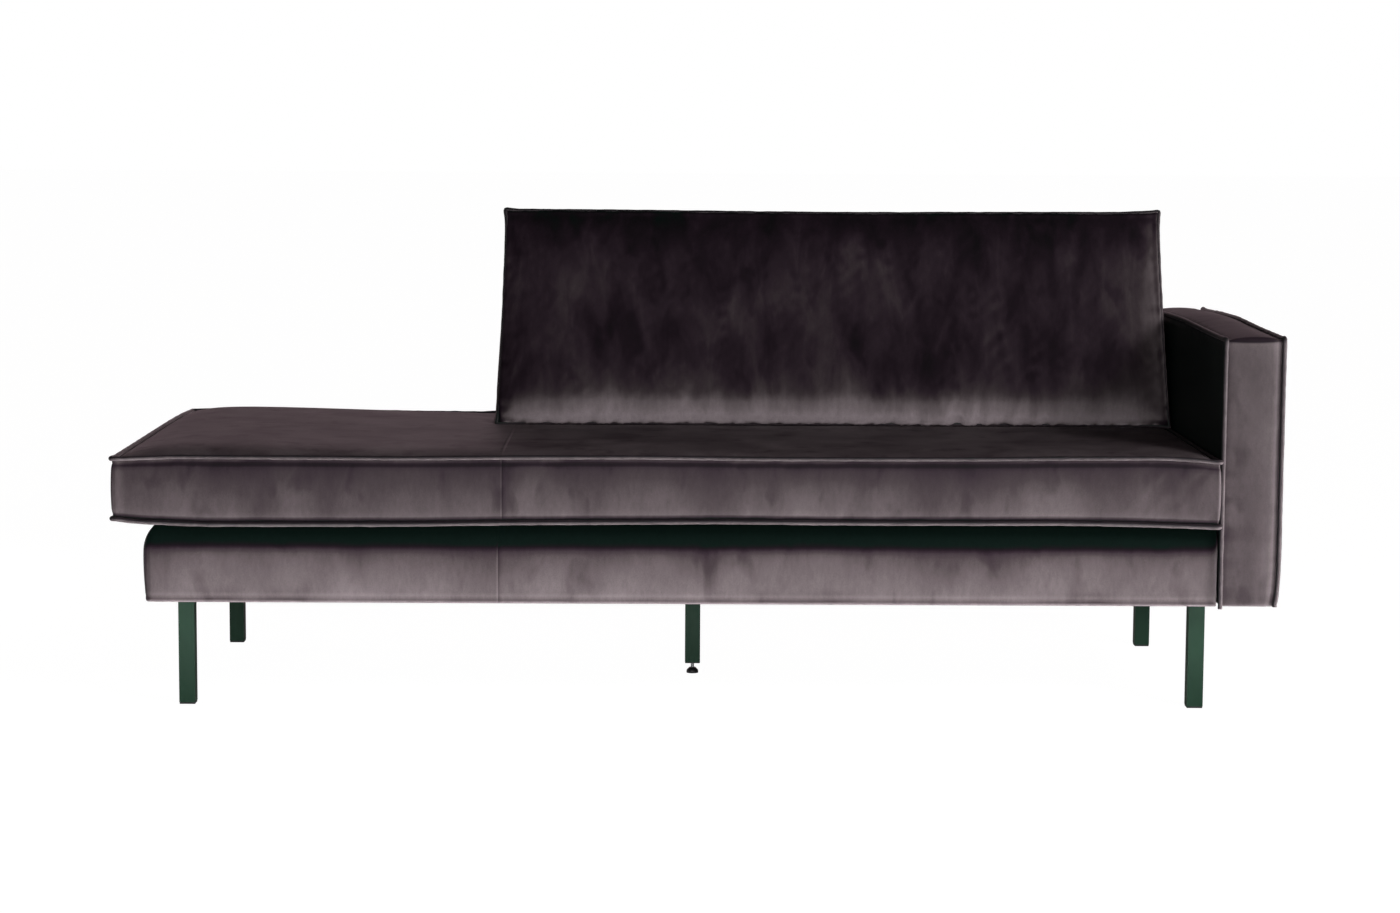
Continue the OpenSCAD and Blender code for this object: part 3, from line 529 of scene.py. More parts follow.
class Slab:
    """Two panels and the boxing round them, on one grid of cells.

    u and v run across the panels in metres and w runs from panel 0 to panel 1, from 0 to 1. corner marks
    the outline's corners. inset is a vertex's distance in from the outline, and reach is the outline's
    own distance to its nearest corner, there.
    """

    def __init__(self, us, vs, ws, filled=lambda u, v: True):
        ws = np.asarray(ws)
        rows = len(ws) - 1
        nu, nv = len(us) - 1, len(vs) - 1
        inside = np.zeros((nu + 2, nv + 2), bool)
        for i in range(nu):
            for j in range(nv):
                inside[i + 1, j + 1] = filled((us[i] + us[i + 1]) / 2, (vs[j] + vs[j + 1]) / 2)
        index, self.quads, follows = {}, [], {}

        def at(i, j, k):
            return index.setdefault((i, j, k), len(index))

        for i, j in np.argwhere(inside[1:-1, 1:-1]):
            i, j = int(i), int(j)
            corners = [(i, j), (i + 1, j), (i + 1, j + 1), (i, j + 1)]
            self.quads.append(tuple(at(*corner, rows) for corner in corners))
            self.quads.append(tuple(at(*corners[n], 0) for n in (0, 3, 2, 1)))
            for side, (di, dj) in enumerate(((0, -1), (1, 0), (0, 1), (-1, 0))):
                if inside[i + 1 + di, j + 1 + dj]:
                    continue
                a, b = corners[side], corners[(side + 1) % 4]
                follows[a] = b
                for k in range(rows):
                    self.quads.append((at(*a, k), at(*b, k), at(*b, k + 1), at(*a, k + 1)))
        grid = np.array(list(index))
        self.rows = rows
        self.k = grid[:, 2]
        self.u, self.v, self.w = us[grid[:, 0]], vs[grid[:, 1]], ws[grid[:, 2]]
        loop = [min(follows)]
        while follows[loop[-1]] != loop[0]:
            loop.append(follows[loop[-1]])
        self.seams = [np.array([index[(*p, k)] for p in loop]) for k in (0, rows)]
        self._measure_outline(np.array([(us[i], vs[j]) for i, j in loop]))

    def _measure_outline(self, line):
        before, after = line - np.roll(line, 1, 0), np.roll(line, -1, 0) - line
        steps = np.linalg.norm(after, axis=1)
        normal = [
            np.stack([d[:, 1], -d[:, 0]], 1) / np.linalg.norm(d, axis=1)[:, None] for d in (before, after)
        ]
        self.turn = np.einsum("ij,ij->i", *normal) < 0.5
        along = np.concatenate([[0], np.cumsum(steps)[:-1]])
        total = steps.sum()
        gaps = np.abs(along[:, None] - along[self.turn][None])
        reach = np.minimum(gaps, total - gaps).min(1)
        tree = KDTree(len(line))
        for n, p in enumerate(line):
            tree.insert((*p, 0), n)
        tree.balance()
        found = [tree.find((u, v, 0)) for u, v in zip(self.u, self.v)]
        near = np.array([f[1] for f in found])
        self.inset = np.array([f[2] for f in found])
        self.reach = reach[near]
        outward = normal[0] + normal[1]
        outward[~self.turn] /= 2
        self.out_u, self.out_v = outward[near].T
        corners = line[self.turn]
        here = np.stack([self.u, self.v], 1)
        self.side_gaps = []
        for a, b in zip(corners, np.roll(corners, -1, 0)):
            along = np.clip(((here - a) @ (b - a)) / ((b - a) @ (b - a)), 0, 1)
            self.side_gaps.append(np.linalg.norm(here - a - along[:, None] * (b - a), axis=1))
        self.boxing = (self.inset < 1e-6) & (self.k > 0) & (self.k < self.rows)
        self.seam = (self.inset < 1e-6) & ~self.boxing
        self.panel = np.where(self.inset < 1e-6, -1, np.where(self.k > 0, 1, 0))

    def pulled(self, bow, ear, bulge):
        """Outward push in the panel's plane.

        Seams draw in by bow between corners, corners stand out by ear and boxing swells by bulge.
        """
        push = -bow * (1 - np.exp(-self.reach / 0.09)) + ear * np.exp(-self.reach / 0.012)
        push = push * np.exp(-self.inset / 0.09)
        push = push + np.where(self.boxing, bulge * self.swell(), 0)
        return self.out_u * push, self.out_v * push

    def swell(self, corner=0.03):
        """How far boxing stands out, from 0 at its seams to 1 midway, less near corners."""
        return 4 * self.w * (1 - self.w) * (1 - 0.55 * np.exp(-self.reach / corner))

    def crown(self, panel, height, shoulders):
        """Height of a panel over its seams: steep near them, level in the middle and rounded into corners.

        shoulders is how wide the steep part is, for all sides or for each side from the lowest v round.
        """
        shoulders = np.broadcast_to(shoulders, len(self.side_gaps))
        fullness = np.prod([1 - np.exp(-gap / wide) for gap, wide in zip(self.side_gaps, shoulders)], axis=0)
        return np.where(self.panel == panel, height * fullness, 0)


def new_object(name, points, faces, material):
    mesh = bpy.data.meshes.new(name)
    mesh.from_pydata(np.asarray(points).tolist(), [], [tuple(map(int, f)) for f in faces])
    mesh.materials.append(material)
    mesh.shade_smooth()
    piece = bpy.data.objects.new(name, mesh)
    bpy.context.collection.objects.link(piece)
    return piece


def coordinates(mesh, of="vertices", key="co"):
    data = getattr(mesh, of)
    values = np.zeros(len(data) * 3, np.float32)
    data.foreach_get(key, values)
    return values.reshape(-1, 3).astype(float)


def set_coordinates(mesh, points):
    mesh.vertices.foreach_set("co", np.asarray(points, np.float32).ravel())
    mesh.update()


def evaluated_points(piece):
    seen = piece.evaluated_get(bpy.context.evaluated_depsgraph_get())
    return coordinates(seen.data)


CLOTH = {
    "quality": 6, "mass": 0.35, "tension_stiffness": 18, "compression_stiffness": 14, "shear_stiffness": 6,
    "bending_stiffness": 0.6, "vertex_group_mass": "hold", "pin_stiffness": 1.0, "use_pressure": True,
}
CLOTH_FRAMES = 16


def settle(piece, hold, pressure, slack, cap):
    """Lets the cover settle over its filling: cloth with a little pressure, held where hold is high.

    slack is the cloth's spare size, and no point moves further than about cap.
    """
    scene = bpy.context.scene
    group = piece.vertex_groups.new(name="hold")
    for weight in np.unique(np.round(hold, 2)):
        members = np.nonzero(np.round(hold, 2) == weight)[0].tolist()
        group.add(members, float(weight), "REPLACE")
    cloth = piece.modifiers.new("cloth", "CLOTH")
    for key, value in CLOTH.items():
        setattr(cloth.settings, key, value)
    cloth.settings.shrink_min = -slack
    cloth.settings.uniform_pressure_force = pressure
    cloth.settings.effector_weights.gravity = 0
    cloth.collision_settings.use_self_collision = False
    cloth.point_cache.frame_start = 1
    cloth.point_cache.frame_end = CLOTH_FRAMES
    start = coordinates(piece.data)
    for number in range(1, CLOTH_FRAMES + 1):
        scene.frame_set(number)
    moved = evaluated_points(piece) - start
    piece.modifiers.remove(cloth)
    piece.vertex_groups.remove(group)
    scene.frame_set(1)
    far = np.linalg.norm(moved, axis=1)
    moved *= (np.tanh(far / cap) * cap / np.maximum(far, 1e-9))[:, None]
    set_coordinates(piece.data, start + moved)


def refine(piece, slab, creased=True):
    """One subdivision that keeps the seams sharp. The grid's own vertices stay first in the list."""
    mesh = piece.data
    ends = np.zeros(len(mesh.edges) * 2, np.int32)
    mesh.edges.foreach_get("vertices", ends)
    sharp = slab.seam[ends.reshape(-1, 2)].all(1) & creased
    crease = mesh.attributes.new("crease_edge", "FLOAT", "EDGE")
    crease.data.foreach_set("value", sharp.astype(np.float32))
    smoother = piece.modifiers.new("subdivision", "SUBSURF")
    smoother.levels = 1
    smooth = bpy.data.meshes.new_from_object(piece.evaluated_get(bpy.context.evaluated_depsgraph_get()))
    piece.modifiers.remove(smoother)
    piece.data = smooth
    smooth.shade_smooth()


def closed_curve(points, per_step):
    """A smooth curve through a closed line's points, with per_step points for each step."""
    a, b, c, d = (np.roll(points, shift, 0) for shift in (1, 0, -1, -2))
    out = []
    for s in np.arange(per_step) / per_step:
        square, cube = 2 * a - 5 * b + 4 * c - d, 3 * b - a - 3 * c + d
        out.append(0.5 * (2 * b + (c - a) * s + square * s**2 + cube * s**3))
    return np.stack(out, 1).reshape(-1, 3)


def mark_painted_seam_shade(mesh, painted_seam_shade):
    """Stores the painted shade at each vertex, in the creases beside seams, which the velvet's colour reads.
    """
    attribute = mesh.attributes.new("painted_seam_shade", "FLOAT", "POINT")
    attribute.data.foreach_set("value", painted_seam_shade.astype(np.float32))


def gather(
    piece, paths, pucker, length, wavelength, seed, ripple=0.0, ripple_size=(0.05, 0.05, 0.2),
    weight=None, seam_shade_scale=None,
):
    """Puckers across each seam, dying away from it, shallow ripples over the whole piece, and painted shade
    beside each seam.

    weight, from each vertex's position, scales the puckers. seam_shade_scale, from its position and normal,
    scales the painted shade in the crease beside a seam.
    """
    mesh = piece.data
    points = coordinates(mesh)
    normals = coordinates(mesh, "vertex_normals", "vector")
    line = np.concatenate([closed_curve(seam, 3) for seam, _ in paths])
    tree = KDTree(len(line))
    for n, p in enumerate(line):
        tree.insert(p, n)
    tree.balance()
    found = [tree.find(p) for p in points]
    away = np.array([f[2] for f in found])
    foot = line[[f[1] for f in found]]
    folds = np.maximum(wavy(foot, wavelength, seed), -0.3) + 0.5 * wavy(foot, wavelength / 2.2, seed + 1)
    local = 0.55 + 0.45 * wavy(foot, 9 * wavelength, seed + 2)
    if weight is not None:
        local = local * weight(points)
    depth = -pucker * local * folds * np.exp(-away / length) * np.minimum(away / 0.006, 1)
    depth = depth - 0.0014 * np.exp(-((away - 0.0065) / 0.004) ** 2)
    broad = wavy(points / np.asarray(ripple_size), 1.0, seed + 3)
    depth = depth + ripple * broad * np.minimum(away / 0.03, 1)
    set_coordinates(mesh, points + normals * depth[:, None])
    # Painted shade in the crease beside each seam, stored for the velvet's colour
    painted_seam_shade = np.exp(-((away / 0.007) ** 2))
    mark_painted_seam_shade(mesh, painted_seam_shade * (0.25 if seam_shade_scale is None else seam_shade_scale(points, normals)))


PIPING_R = 0.0041


def tube(path, normals, radius, closed, sides=10):
    """Rings of vertices round a path and the quads between them. normals set each ring's first spoke."""
    count = len(path)
    if closed:
        along = np.roll(path, -1, 0) - np.roll(path, 1, 0)
    else:
        along = np.gradient(path, axis=0)
    along /= np.linalg.norm(along, axis=1)[:, None]
    spoke = normals - along * np.einsum("ij,ij->i", normals, along)[:, None]
    spoke /= np.linalg.norm(spoke, axis=1)[:, None]
    other = np.cross(along, spoke)
    turns = 2 * pi * np.arange(sides) / sides
    radius = np.broadcast_to(radius, count)
    rings = path[:, None] + radius[:, None, None] * (
        np.cos(turns)[None, :, None] * spoke[:, None] + np.sin(turns)[None, :, None] * other[:, None])
    faces = []
    for i in range(count if closed else count - 1):
        j = (i + 1) % count
        for k in range(sides):
            m = (k + 1) % sides
            faces.append((i * sides + k, i * sides + m, j * sides + m, j * sides + k))
    if not closed:
        faces.append(tuple(range(sides))[::-1])
        faces.append(tuple((count - 1) * sides + k for k in range(sides)))
    return rings.reshape(-1, 3), faces


def add_piping(name, runs, dark_below=None):
    """Fabric-covered cord along each run, which is (path, normals, closed). Its cover is lightly pinched.

    Below dark_below its colour has painted shade, for the crease it lies in.
    """
    points, faces = [], []
    for number, (path, normals, closed) in enumerate(runs):
        pinch = 1 + 0.05 * wavy(path, 0.03, 70 + number) + 0.03 * wavy(path, 0.011, 80 + number)
        ring_points, ring_faces = tube(path, normals, PIPING_R * pinch, closed)
        start = sum(len(p) for p in points)
        points.append(ring_points)
        faces.extend(tuple(start + n for n in face) for face in ring_faces)
    points = np.concatenate(points)
    piping = new_object(name, points, faces, PIPING_VELVET)
    # Painted shade on the piping's lowest part
    if dark_below is not None:
        mark_painted_seam_shade(piping.data, 0.45 * (1 - smoothstep(points[:, 2], dark_below, dark_below + 0.03)))
    return piping


def seam_paths(piece, slab):
    """Each seam's vertices and their outward normals on the refined piece."""
    points = coordinates(piece.data)
    normals = coordinates(piece.data, "vertex_normals", "vector")
    return [(points[seam], normals[seam]) for seam in slab.seams]


LOOP_STAND_OFF = 0.0026
ARCH_STAND_OFF = 0.0022


def piping_runs(paths):
    """Closed runs that stand off each seam along its normal."""
    return [(closed_curve(p + LOOP_STAND_OFF * n, 2), closed_curve(n, 2), True) for p, n in paths]


# ---------- Seat cushion ----------

seat_low, seat_high = limits("seat_cushion_cover")
pillow_low, pillow_high = limits("back_cushion_cover")
back_low, back_high = limits("back_frame_cover")
base_low, base_high = limits("base_cover")
arm_low, arm_high = limits("arm_cover")
zip_low, zip_high = limits("seat_zip")
SEAT_GAP = 0.012
NOTCH_X = back_low[0] - SEAT_GAP + 0.001
NOTCH_Y = back_low[1] - SEAT_GAP


def smoothstep(x, low, high):
    t = np.clip((x - low) / (high - low), 0, 1)
    return t * t * (3 - 2 * t)


# Rise of the front seams above level, by X: the top one and the bottom one
TOP_FRONT = np.array([
    (-1.00, -0.001), (-0.90, 0.003), (-0.50, 0.002), (-0.30, 0.0045), (-0.10, 0.0055), (0.13, 0.0038),
    (0.30, 0.0042), (0.50, 0.0052), (0.65, 0.0072), (0.80, 0.0082), (0.86, 0.0055), (0.90, 0.001),
])
BOTTOM_FRONT = np.array([
    (-1.01, 0.0025), (-0.97, -0.003), (-0.85, -0.0072), (-0.50, -0.0055), (-0.30, -0.002), (0.05, 0.0012),
    (0.30, 0.0), (0.50, 0.0005), (0.62, 0.0015), (0.75, 0.0), (0.90, -0.0042),
])
BOXING_ROWS = (0, 0.06, 0.14, 0.24, 0.37, 0.5, 0.63, 0.76, 0.86, 0.94, 1)


def shape_seat(s):
    du, dv = s.pulled(bow=0.002, ear=0.004, bulge=0.0052)
    x, y = s.u + du, s.v + dv
    x = x + np.where(s.u < 0, 0.0055 * np.exp(-(s.u - seat_low[0]) / 0.2), 0)
    x = x + 0.002 * np.exp(-(seat_high[0] - s.u) / 0.05)
    x = x + 0.010 * np.exp(-np.hypot(s.u - seat_low[0], s.v - seat_high[1]) / 0.10) * s.w
    bottom, top = seat_low[2] + 0.003, seat_high[2] - 0.0042
    z = bottom + (top - bottom) * s.w
    left_side = smoothstep(x, -0.93, -0.40)
    under_pillow = smoothstep(y, 0.06, 0.13) * smoothstep(x, pillow_low[0] - 0.06, pillow_low[0] + 0.02)
    crown = s.crown(1, 0.018, (0.034, 0.012, 0.034, 0.034, 0.034, 0.034)) * (1 - 0.35 * left_side)
    corner = np.exp(-np.hypot(s.u - seat_low[0], s.v - seat_high[1]) / 0.06) * s.w
    z = z + crown * (1 - 0.72 * under_pillow)
    front = np.exp(-(s.v - seat_low[1]) / 0.22)
    rise_top = np.interp(s.u, *TOP_FRONT.T) * front
    overhang = smoothstep(-s.v, -base_low[1] - 0.03, -base_low[1] + 0.004)
    rise_bottom = np.interp(s.u, *BOTTOM_FRONT.T) * front * overhang
    z = z + rise_top * s.w + rise_bottom * (1 - s.w)
    rear = smoothstep(s.v, 0.10, 0.40) * s.w
    z = z - 0.003 * corner - rear * 0.005 * left_side * (1 - under_pillow) * (s.u < NOTCH_X + 1e-6)
    on_zip = (np.abs(z - (zip_low[2] + zip_high[2]) / 2) < 0.02) & (s.v > seat_high[1] - 0.001)
    on_zip &= (x > zip_low[0] - 0.02) & (x < zip_high[0] + 0.02)
    y = np.where(on_zip & s.boxing, zip_low[1] - 0.0004, y)
    return np.stack([x, y, z], 1), on_zip & s.boxing


def make_seat():
    slab = Slab(
        stations(seat_low[0], seat_high[0], 0.0125, fixed=(NOTCH_X,)),
        stations(seat_low[1], seat_high[1], 0.019, fixed=(NOTCH_Y,)),
        BOXING_ROWS,
        filled=lambda u, v: not (u > NOTCH_X and v > NOTCH_Y),
    )
    points, on_zip = shape_seat(slab)
    seat = new_object("seat_cushion", points, slab.quads, SEAT_VELVET)
    firm = 0.80 + 0.06 * wavy(points, 0.25, 11)
    hold = np.where(slab.seam | on_zip, 1.0, np.where(slab.panel == 0, 0.95, firm))
    settle(seat, hold, pressure=1.6, slack=0.004, cap=0.003)
    refine(seat, slab)
    paths = seam_paths(seat, slab)
    gather(
        seat, paths, 0.0012, 0.022, 0.045, 21,
        weight=lambda p: np.where(p[:, 1] < -0.41, 1.0, 0.35),
        # Painted shade, deepest in the crease by the bottom seam
        seam_shade_scale=lambda p, n: np.where(
            (p[:, 2] < seat_low[2] + 0.04) & (np.abs(n[:, 2]) < 0.8), 1.1, 0.12),
    )
    crease_end(seat)
    piping = add_piping("seat_cushion_piping", piping_runs(paths))
    return seat, piping


def crease_end(seat):
    """Slanting folds in the front boxing next to the arm, where the cover is pulled round the corner."""
    points = coordinates(seat.data)
    normals = coordinates(seat.data, "vertex_normals", "vector")
    x, y, z = points.T
    slant = (x - 0.80) - 0.9 * (z - seat_low[2])
    folds = np.sin(2 * pi * slant / 0.048) + 0.5 * np.sin(2 * pi * slant / 0.021 + 1.0)
    zone = smoothstep(x, 0.70, 0.80) * (1 - smoothstep(x, 0.87, 0.893)) * smoothstep(-y, 0.41, 0.425)
    height = (z - seat_low[2]) / (seat_high[2] - seat_low[2])
    zone = zone * np.clip(4 * height * (1 - height), 0, 1)
    folds = folds * (0.6 + 0.6 * wavy(points, 0.05, 27))
    set_coordinates(seat.data, points + normals * (0.00042 * zone * folds)[:, None])


# ---------- Back cushion ----------

LEAN = 0.288                                # 16.5 degrees
PILLOW_LENGTH = 0.4155


def make_pillow():
    width = pillow_high[0] - pillow_low[0]
    slab = Slab(stations(0, width, 0.0125), stations(0, PILLOW_LENGTH, 0.0125), BOXING_ROWS)
    s = slab
    floor = pillow_low[2] + 0.0035
    rear_line = np.array([
        (pillow_low[1] + 0.180, floor),
        (back_low[1] - 0.010, floor + 0.105),
        (back_low[1] - 0.010, back_high[2] - 0.004),
        (pillow_high[1] - 0.004, pillow_high[2] - 0.044),
    ])
    du, dv = s.pulled(bow=0.0008, ear=0.004, bulge=0.0)
    u, v = s.u + du, s.v + dv
    t = v / PILLOW_LENGTH
    front_y = pillow_low[1] + 0.002 + v * sin(LEAN)
    front_z = floor + t * (pillow_high[2] + 0.001 - floor)
    front_z = front_z + 0.0025 * smoothstep(s.u, width - 0.10, width) * smoothstep(t, 0.8, 1.0)
    marks = np.array([0, 0.27, 0.53, 1.0])
    rear_y = np.interp(t, marks, rear_line[:, 0])
    rear_z = np.interp(t, marks, rear_line[:, 1]) + (t - np.clip(t, 0, 1)) * PILLOW_LENGTH
    w = s.w                                 # 0 is the front panel
    # The filling has sunk: both ends flare towards the bottom and the front is fullest low down
    at_end = (s.u < 1e-6) | (s.u > width - 1e-6)
    side = np.sign(s.u - width / 2)
    gap = width / 2 - np.abs(s.u - width / 2)
    flare = (0.0115 * np.clip(1 - t, 0, 1) ** 1.3 + 0.001) * np.exp(-gap / 0.10)
    end_bulge = np.where(at_end, (0.004 + 0.004 * np.exp(-t / 0.3)) * s.swell(0.04), 0)
    x = pillow_low[0] + u + side * (flare + np.where(s.boxing, end_bulge, 0))
    y = front_y + (rear_y - front_y) * w
    z = front_z + (rear_z - front_z) * w
    low_down = 0.66 + 0.34 * np.exp(-(((t - 0.08) / 0.34) ** 2))
    crown = s.crown(0, 0.038, (0.027, 0.055, 0.040, 0.024)) * low_down
    y = y - crown * cos(LEAN)
    z = z + crown * sin(LEAN) * 0.3
    y = y + s.crown(1, 0.012, 0.04) * smoothstep(t, 0.55, 0.8)
    on_top = (s.v > PILLOW_LENGTH - 1e-6) & ~at_end
    z = z + np.where(on_top & s.boxing, 0.007 * s.swell(0.04), 0)
    z = z + np.where(t > 0.9, 0.0012 * np.sin(2.6 * pi * s.u / width + 0.6) * smoothstep(gap, 0.0, 0.05), 0)
    points = np.stack([x, y, z], 1)
    pillow = new_object("back_cushion", points, slab.quads, PILLOW_VELVET)
    bottom = (s.v < 1e-6) & s.boxing
    firm = 0.62 + 0.08 * wavy(points, 0.18, 31)
    hold = np.where(s.seam, 1.0, np.where(bottom, 0.95, firm))
    settle(pillow, hold, pressure=2.4, slack=0.008, cap=0.008)
    refine(pillow, slab)
    clear_neighbours(pillow)
    paths = seam_paths(pillow, slab)
    gather(
        pillow, paths, 0.0044, 0.020, 0.036, 41, ripple=0.0012, ripple_size=(0.11, 0.11, 0.22),
        weight=lambda p: 1.0 - 0.8 * smoothstep(p[:, 2], pillow_low[2] + 0.03, pillow_low[2] + 0.08),
        # Painted shade in dark dashes along the bottom seam, where its puckers fall
        seam_shade_scale=lambda p, n: np.where(
            p[:, 2] < pillow_low[2] + 0.04, np.clip(0.9 + wavy(p, 0.02, 47), 0.1, 2.2), 0.15),
    )
    clear_neighbours(pillow)
    piping = add_piping("back_cushion_piping", piping_runs(paths), dark_below=pillow_low[2] + 0.02)
    return pillow, piping


def clear_neighbours(pillow):
    """Keeps the back cushion off the seat below it and off the back frame behind it."""
    points = coordinates(pillow.data)
    points[:, 2] = np.maximum(points[:, 2], pillow_low[2] + 0.0015)
    behind = points[:, 2] < back_high[2] + 0.004
    limit = back_low[1] - 0.0065
    points[:, 1] = np.where(behind, np.minimum(points[:, 1], limit), points[:, 1])
    points[:, 0] = np.minimum(points[:, 0], arm_low[0] - 0.007)
    set_coordinates(pillow.data, points)


# ---------- Arm ----------

def open_run(points, normals):
    """A finer open run through a line's points."""
    ends = np.arange(len(points))
    fine = np.linspace(0, len(points) - 1, 2 * len(points) - 1)
    line, turned = (
        np.stack([np.interp(fine, ends, values[:, n]) for n in range(3)], 1) for values in (points, normals)
    )
    return line, turned, False


def arch_runs(paths, low, tails):
    """Piping up one upright seam, along the top and down the other, with a short tail at each foot."""
    runs = []
    for (points, normals), tail in zip(paths, tails):
        keep = points[:, 2] > low + 0.004
        start = int(np.argmax(keep & ~np.roll(keep, 1)))
        order = np.roll(np.arange(len(points)), -start)
        order = order[keep[order]]
        line = points[order] + ARCH_STAND_OFF * normals[order]
        side = normals[order]
        first, last = line[0].copy(), line[-1].copy()
        first[2] = last[2] = low - tail
        line = np.concatenate([[first], line, [last]])
        side = np.concatenate([[side[0]], side, [side[-1]]])
        runs.append(open_run(line, side))
    return runs


# Rise of the arm's top seams above level, by Y
ARM_TOP = np.array([
    (-0.43, 0.0050), (-0.38, 0.0065), (-0.20, 0.0085), (0.04, 0.0120), (0.22, 0.0085), (0.38, 0.0025),
    (0.43, 0.0005),
])


def make_arm():
    inset = 0.0026
    depth = arm_high[1] - arm_low[1]
    top = arm_high[2] - 0.009
    slab = Slab(stations(0, depth, 0.015), stations(0, top - arm_low[2], 0.013), BOXING_ROWS)
    s = slab
    du, dv = s.pulled(bow=0.0015, ear=0.003, bulge=0.0)
    foot = np.exp(-s.v / 0.05)
    y = arm_low[1] + s.u + du * (1 - foot)
    z = arm_low[2] + s.v + dv * (1 - foot)
    x = arm_low[0] + inset + (arm_high[0] - arm_low[0] - 2 * inset) * s.w
    at_end = (s.u < 1e-6) | (s.u > depth - 1e-6)
    on_top = (s.v > top - arm_low[2] - 1e-6) & ~at_end
    near_top = smoothstep(z, arm_high[2] - 0.16, arm_high[2] - 0.02)
    z = z + np.interp(y, *ARM_TOP.T) * near_top * (0.75 + 0.25 * s.w)
    z = z + np.where(on_top & s.boxing, 0.008 * s.swell(), 0)
    front_sag = at_end & s.boxing & (s.v > top - arm_low[2] - 1e-6)
    z = z - np.where(front_sag, 0.0035 * 4 * s.w * (1 - s.w), 0)
    y = y + np.where(at_end & s.boxing, np.sign(s.u - depth / 2) * 0.0035 * s.swell() * (1 - foot), 0)
    fullness = s.crown(0, 1, 0.04) + s.crown(1, 1, 0.04)
    x = x + np.where(s.panel == 1, 0.004, -0.002) * fullness * (1 - foot)
    # The front outer corner's foot is tucked in
    x = x - 0.007 * s.w * np.exp(-s.v / 0.025) * (1 - smoothstep(s.u, 0.002, 0.017))
    points = np.stack([x, y, z], 1)
    arm = new_object("arm_cover", points, slab.quads, ARM_VELVET)
    hem = s.v < 1e-6
    hold = np.where(s.seam | hem, 1.0, 0.85 + 0.04 * wavy(points, 0.2, 51))
    settle(arm, hold, pressure=1.0, slack=0.003, cap=0.002)
    refine(arm, slab)
    paths = seam_paths(arm, slab)
    gather(arm, paths, 0.0008, 0.018, 0.040, 61)
    piping = add_piping("arm_piping", arch_runs(paths, arm_low[2], (0.004, 0.0)))
    return arm, piping


# ---------- Back frame ----------

def make_back_frame():
    inset = 0.0026
    width = back_high[0] - back_low[0]
    top = back_high[2] - 0.005
    slab = Slab(stations(0, width, 0.022), stations(0, top - back_low[2], 0.022), BOXING_ROWS)
    s = slab
    du, dv = s.pulled(bow=0.0012, ear=0.002, bulge=0.0)
    foot = np.exp(-s.v / 0.04)
    x = back_low[0] + s.u + du * (1 - foot)
    z = back_low[2] + s.v + dv * (1 - foot)
    y = back_low[1] + inset + (back_high[1] - back_low[1] - 2 * inset) * s.w
    on_top = (s.v > top - back_low[2] - 1e-6) & s.boxing
    z = z + np.where(on_top, 0.006 * s.swell(), 0)
    fullness = s.crown(0, 1, 0.05) + s.crown(1, 1, 0.05)
    y = y + np.where(s.panel == 1, 0.004, -0.0015) * fullness * (1 - foot)
    points = np.stack([x, y, z], 1)
    back = new_object("back_frame_cover", points, slab.quads, MATERIALS["velvet"])
    hem = s.v < 1e-6
    hold = np.where(s.seam | hem, 1.0, 0.8)
    settle(back, hold, pressure=0.8, slack=0.003, cap=0.002)
    refine(back, slab)
    paths = seam_paths(back, slab)
    gather(back, paths, 0.0008, 0.018, 0.034, 91)
    piping = add_piping("back_frame_piping", arch_runs(paths, back_low[2], (0.0, 0.0)))
    return back, piping


# ---------- Base ----------

BASE_ROWS = (0, 0.02, 0.05, 0.11, 0.2, 0.31, 0.42, 0.51, 0.59, 0.66, 0.72, 0.78, 0.84, 0.89, 0.93, 0.965, 1)
ROLL_OUT, ROLL_UP = 0.044, 0.056


def rolled(s, low, high, out, up):
    """A slab as a box whose top edge is a padded roll, out wide and up high. Boxing ends halfway round it.

    The end with the highest u has no roll: it stands against something.
    """
    height = high[2] - low[2]
    turned = np.where(s.panel < 0, np.clip((s.w * height - (height - up)) / up, 0, 1), 1)
    angle = turned * pi / 4
    start = out * (1 - np.cos(angle))

    def drawn_in(gap):
        over = np.clip(gap / out, 0, 1)
        round_top = out * (1 - np.cos(pi / 4 * (1 + over)))
        straight = start + (out - start) * over
        return np.where(gap >= out, gap, np.where(s.panel == 1, round_top, straight))

    gaps = s.u - low[0], s.v - low[1], high[1] - s.v
    left, front, rear = (drawn_in(gap) for gap in gaps)
    flat = s.panel == 0
    x = np.where(flat | (s.u > high[0] - out), s.u, low[0] + left)
    y = np.where(flat, s.v, np.where(s.v - low[1] < high[1] - s.v, low[1] + front, high[1] - rear))
    over = np.clip(np.min(gaps, axis=0) / out, 0, 1)
    side = np.where(turned > 0, high[2] - up + up * np.sin(angle), low[2] + height * s.w)
    top = high[2] - up + up * np.sin(pi / 4 * (1 + over))
    abutting = (s.panel < 0) & (s.u > high[0] - 1e-6) & (over > 0)
    side = np.where(abutting, low[2] + (top - low[2]) * s.w, side)
    z = np.where(s.panel == 1, top, np.where(flat, low[2], side))
    return x, y, z


def round_plan(x, y, low, high, r):
    """Rounds the upright corners of a box's points, and whatever lies inside them."""
    cx, cy = np.clip(x, low[0] + r, high[0] - r), np.clip(y, low[1] + r, high[1] - r)
    ox, oy = x - cx, y - cy
    longest, length = np.maximum(np.abs(ox), np.abs(oy)), np.hypot(ox, oy)
    scale = np.where(length > 1e-9, longest / np.maximum(length, 1e-9), 1)
    return cx + ox * scale, cy + oy * scale


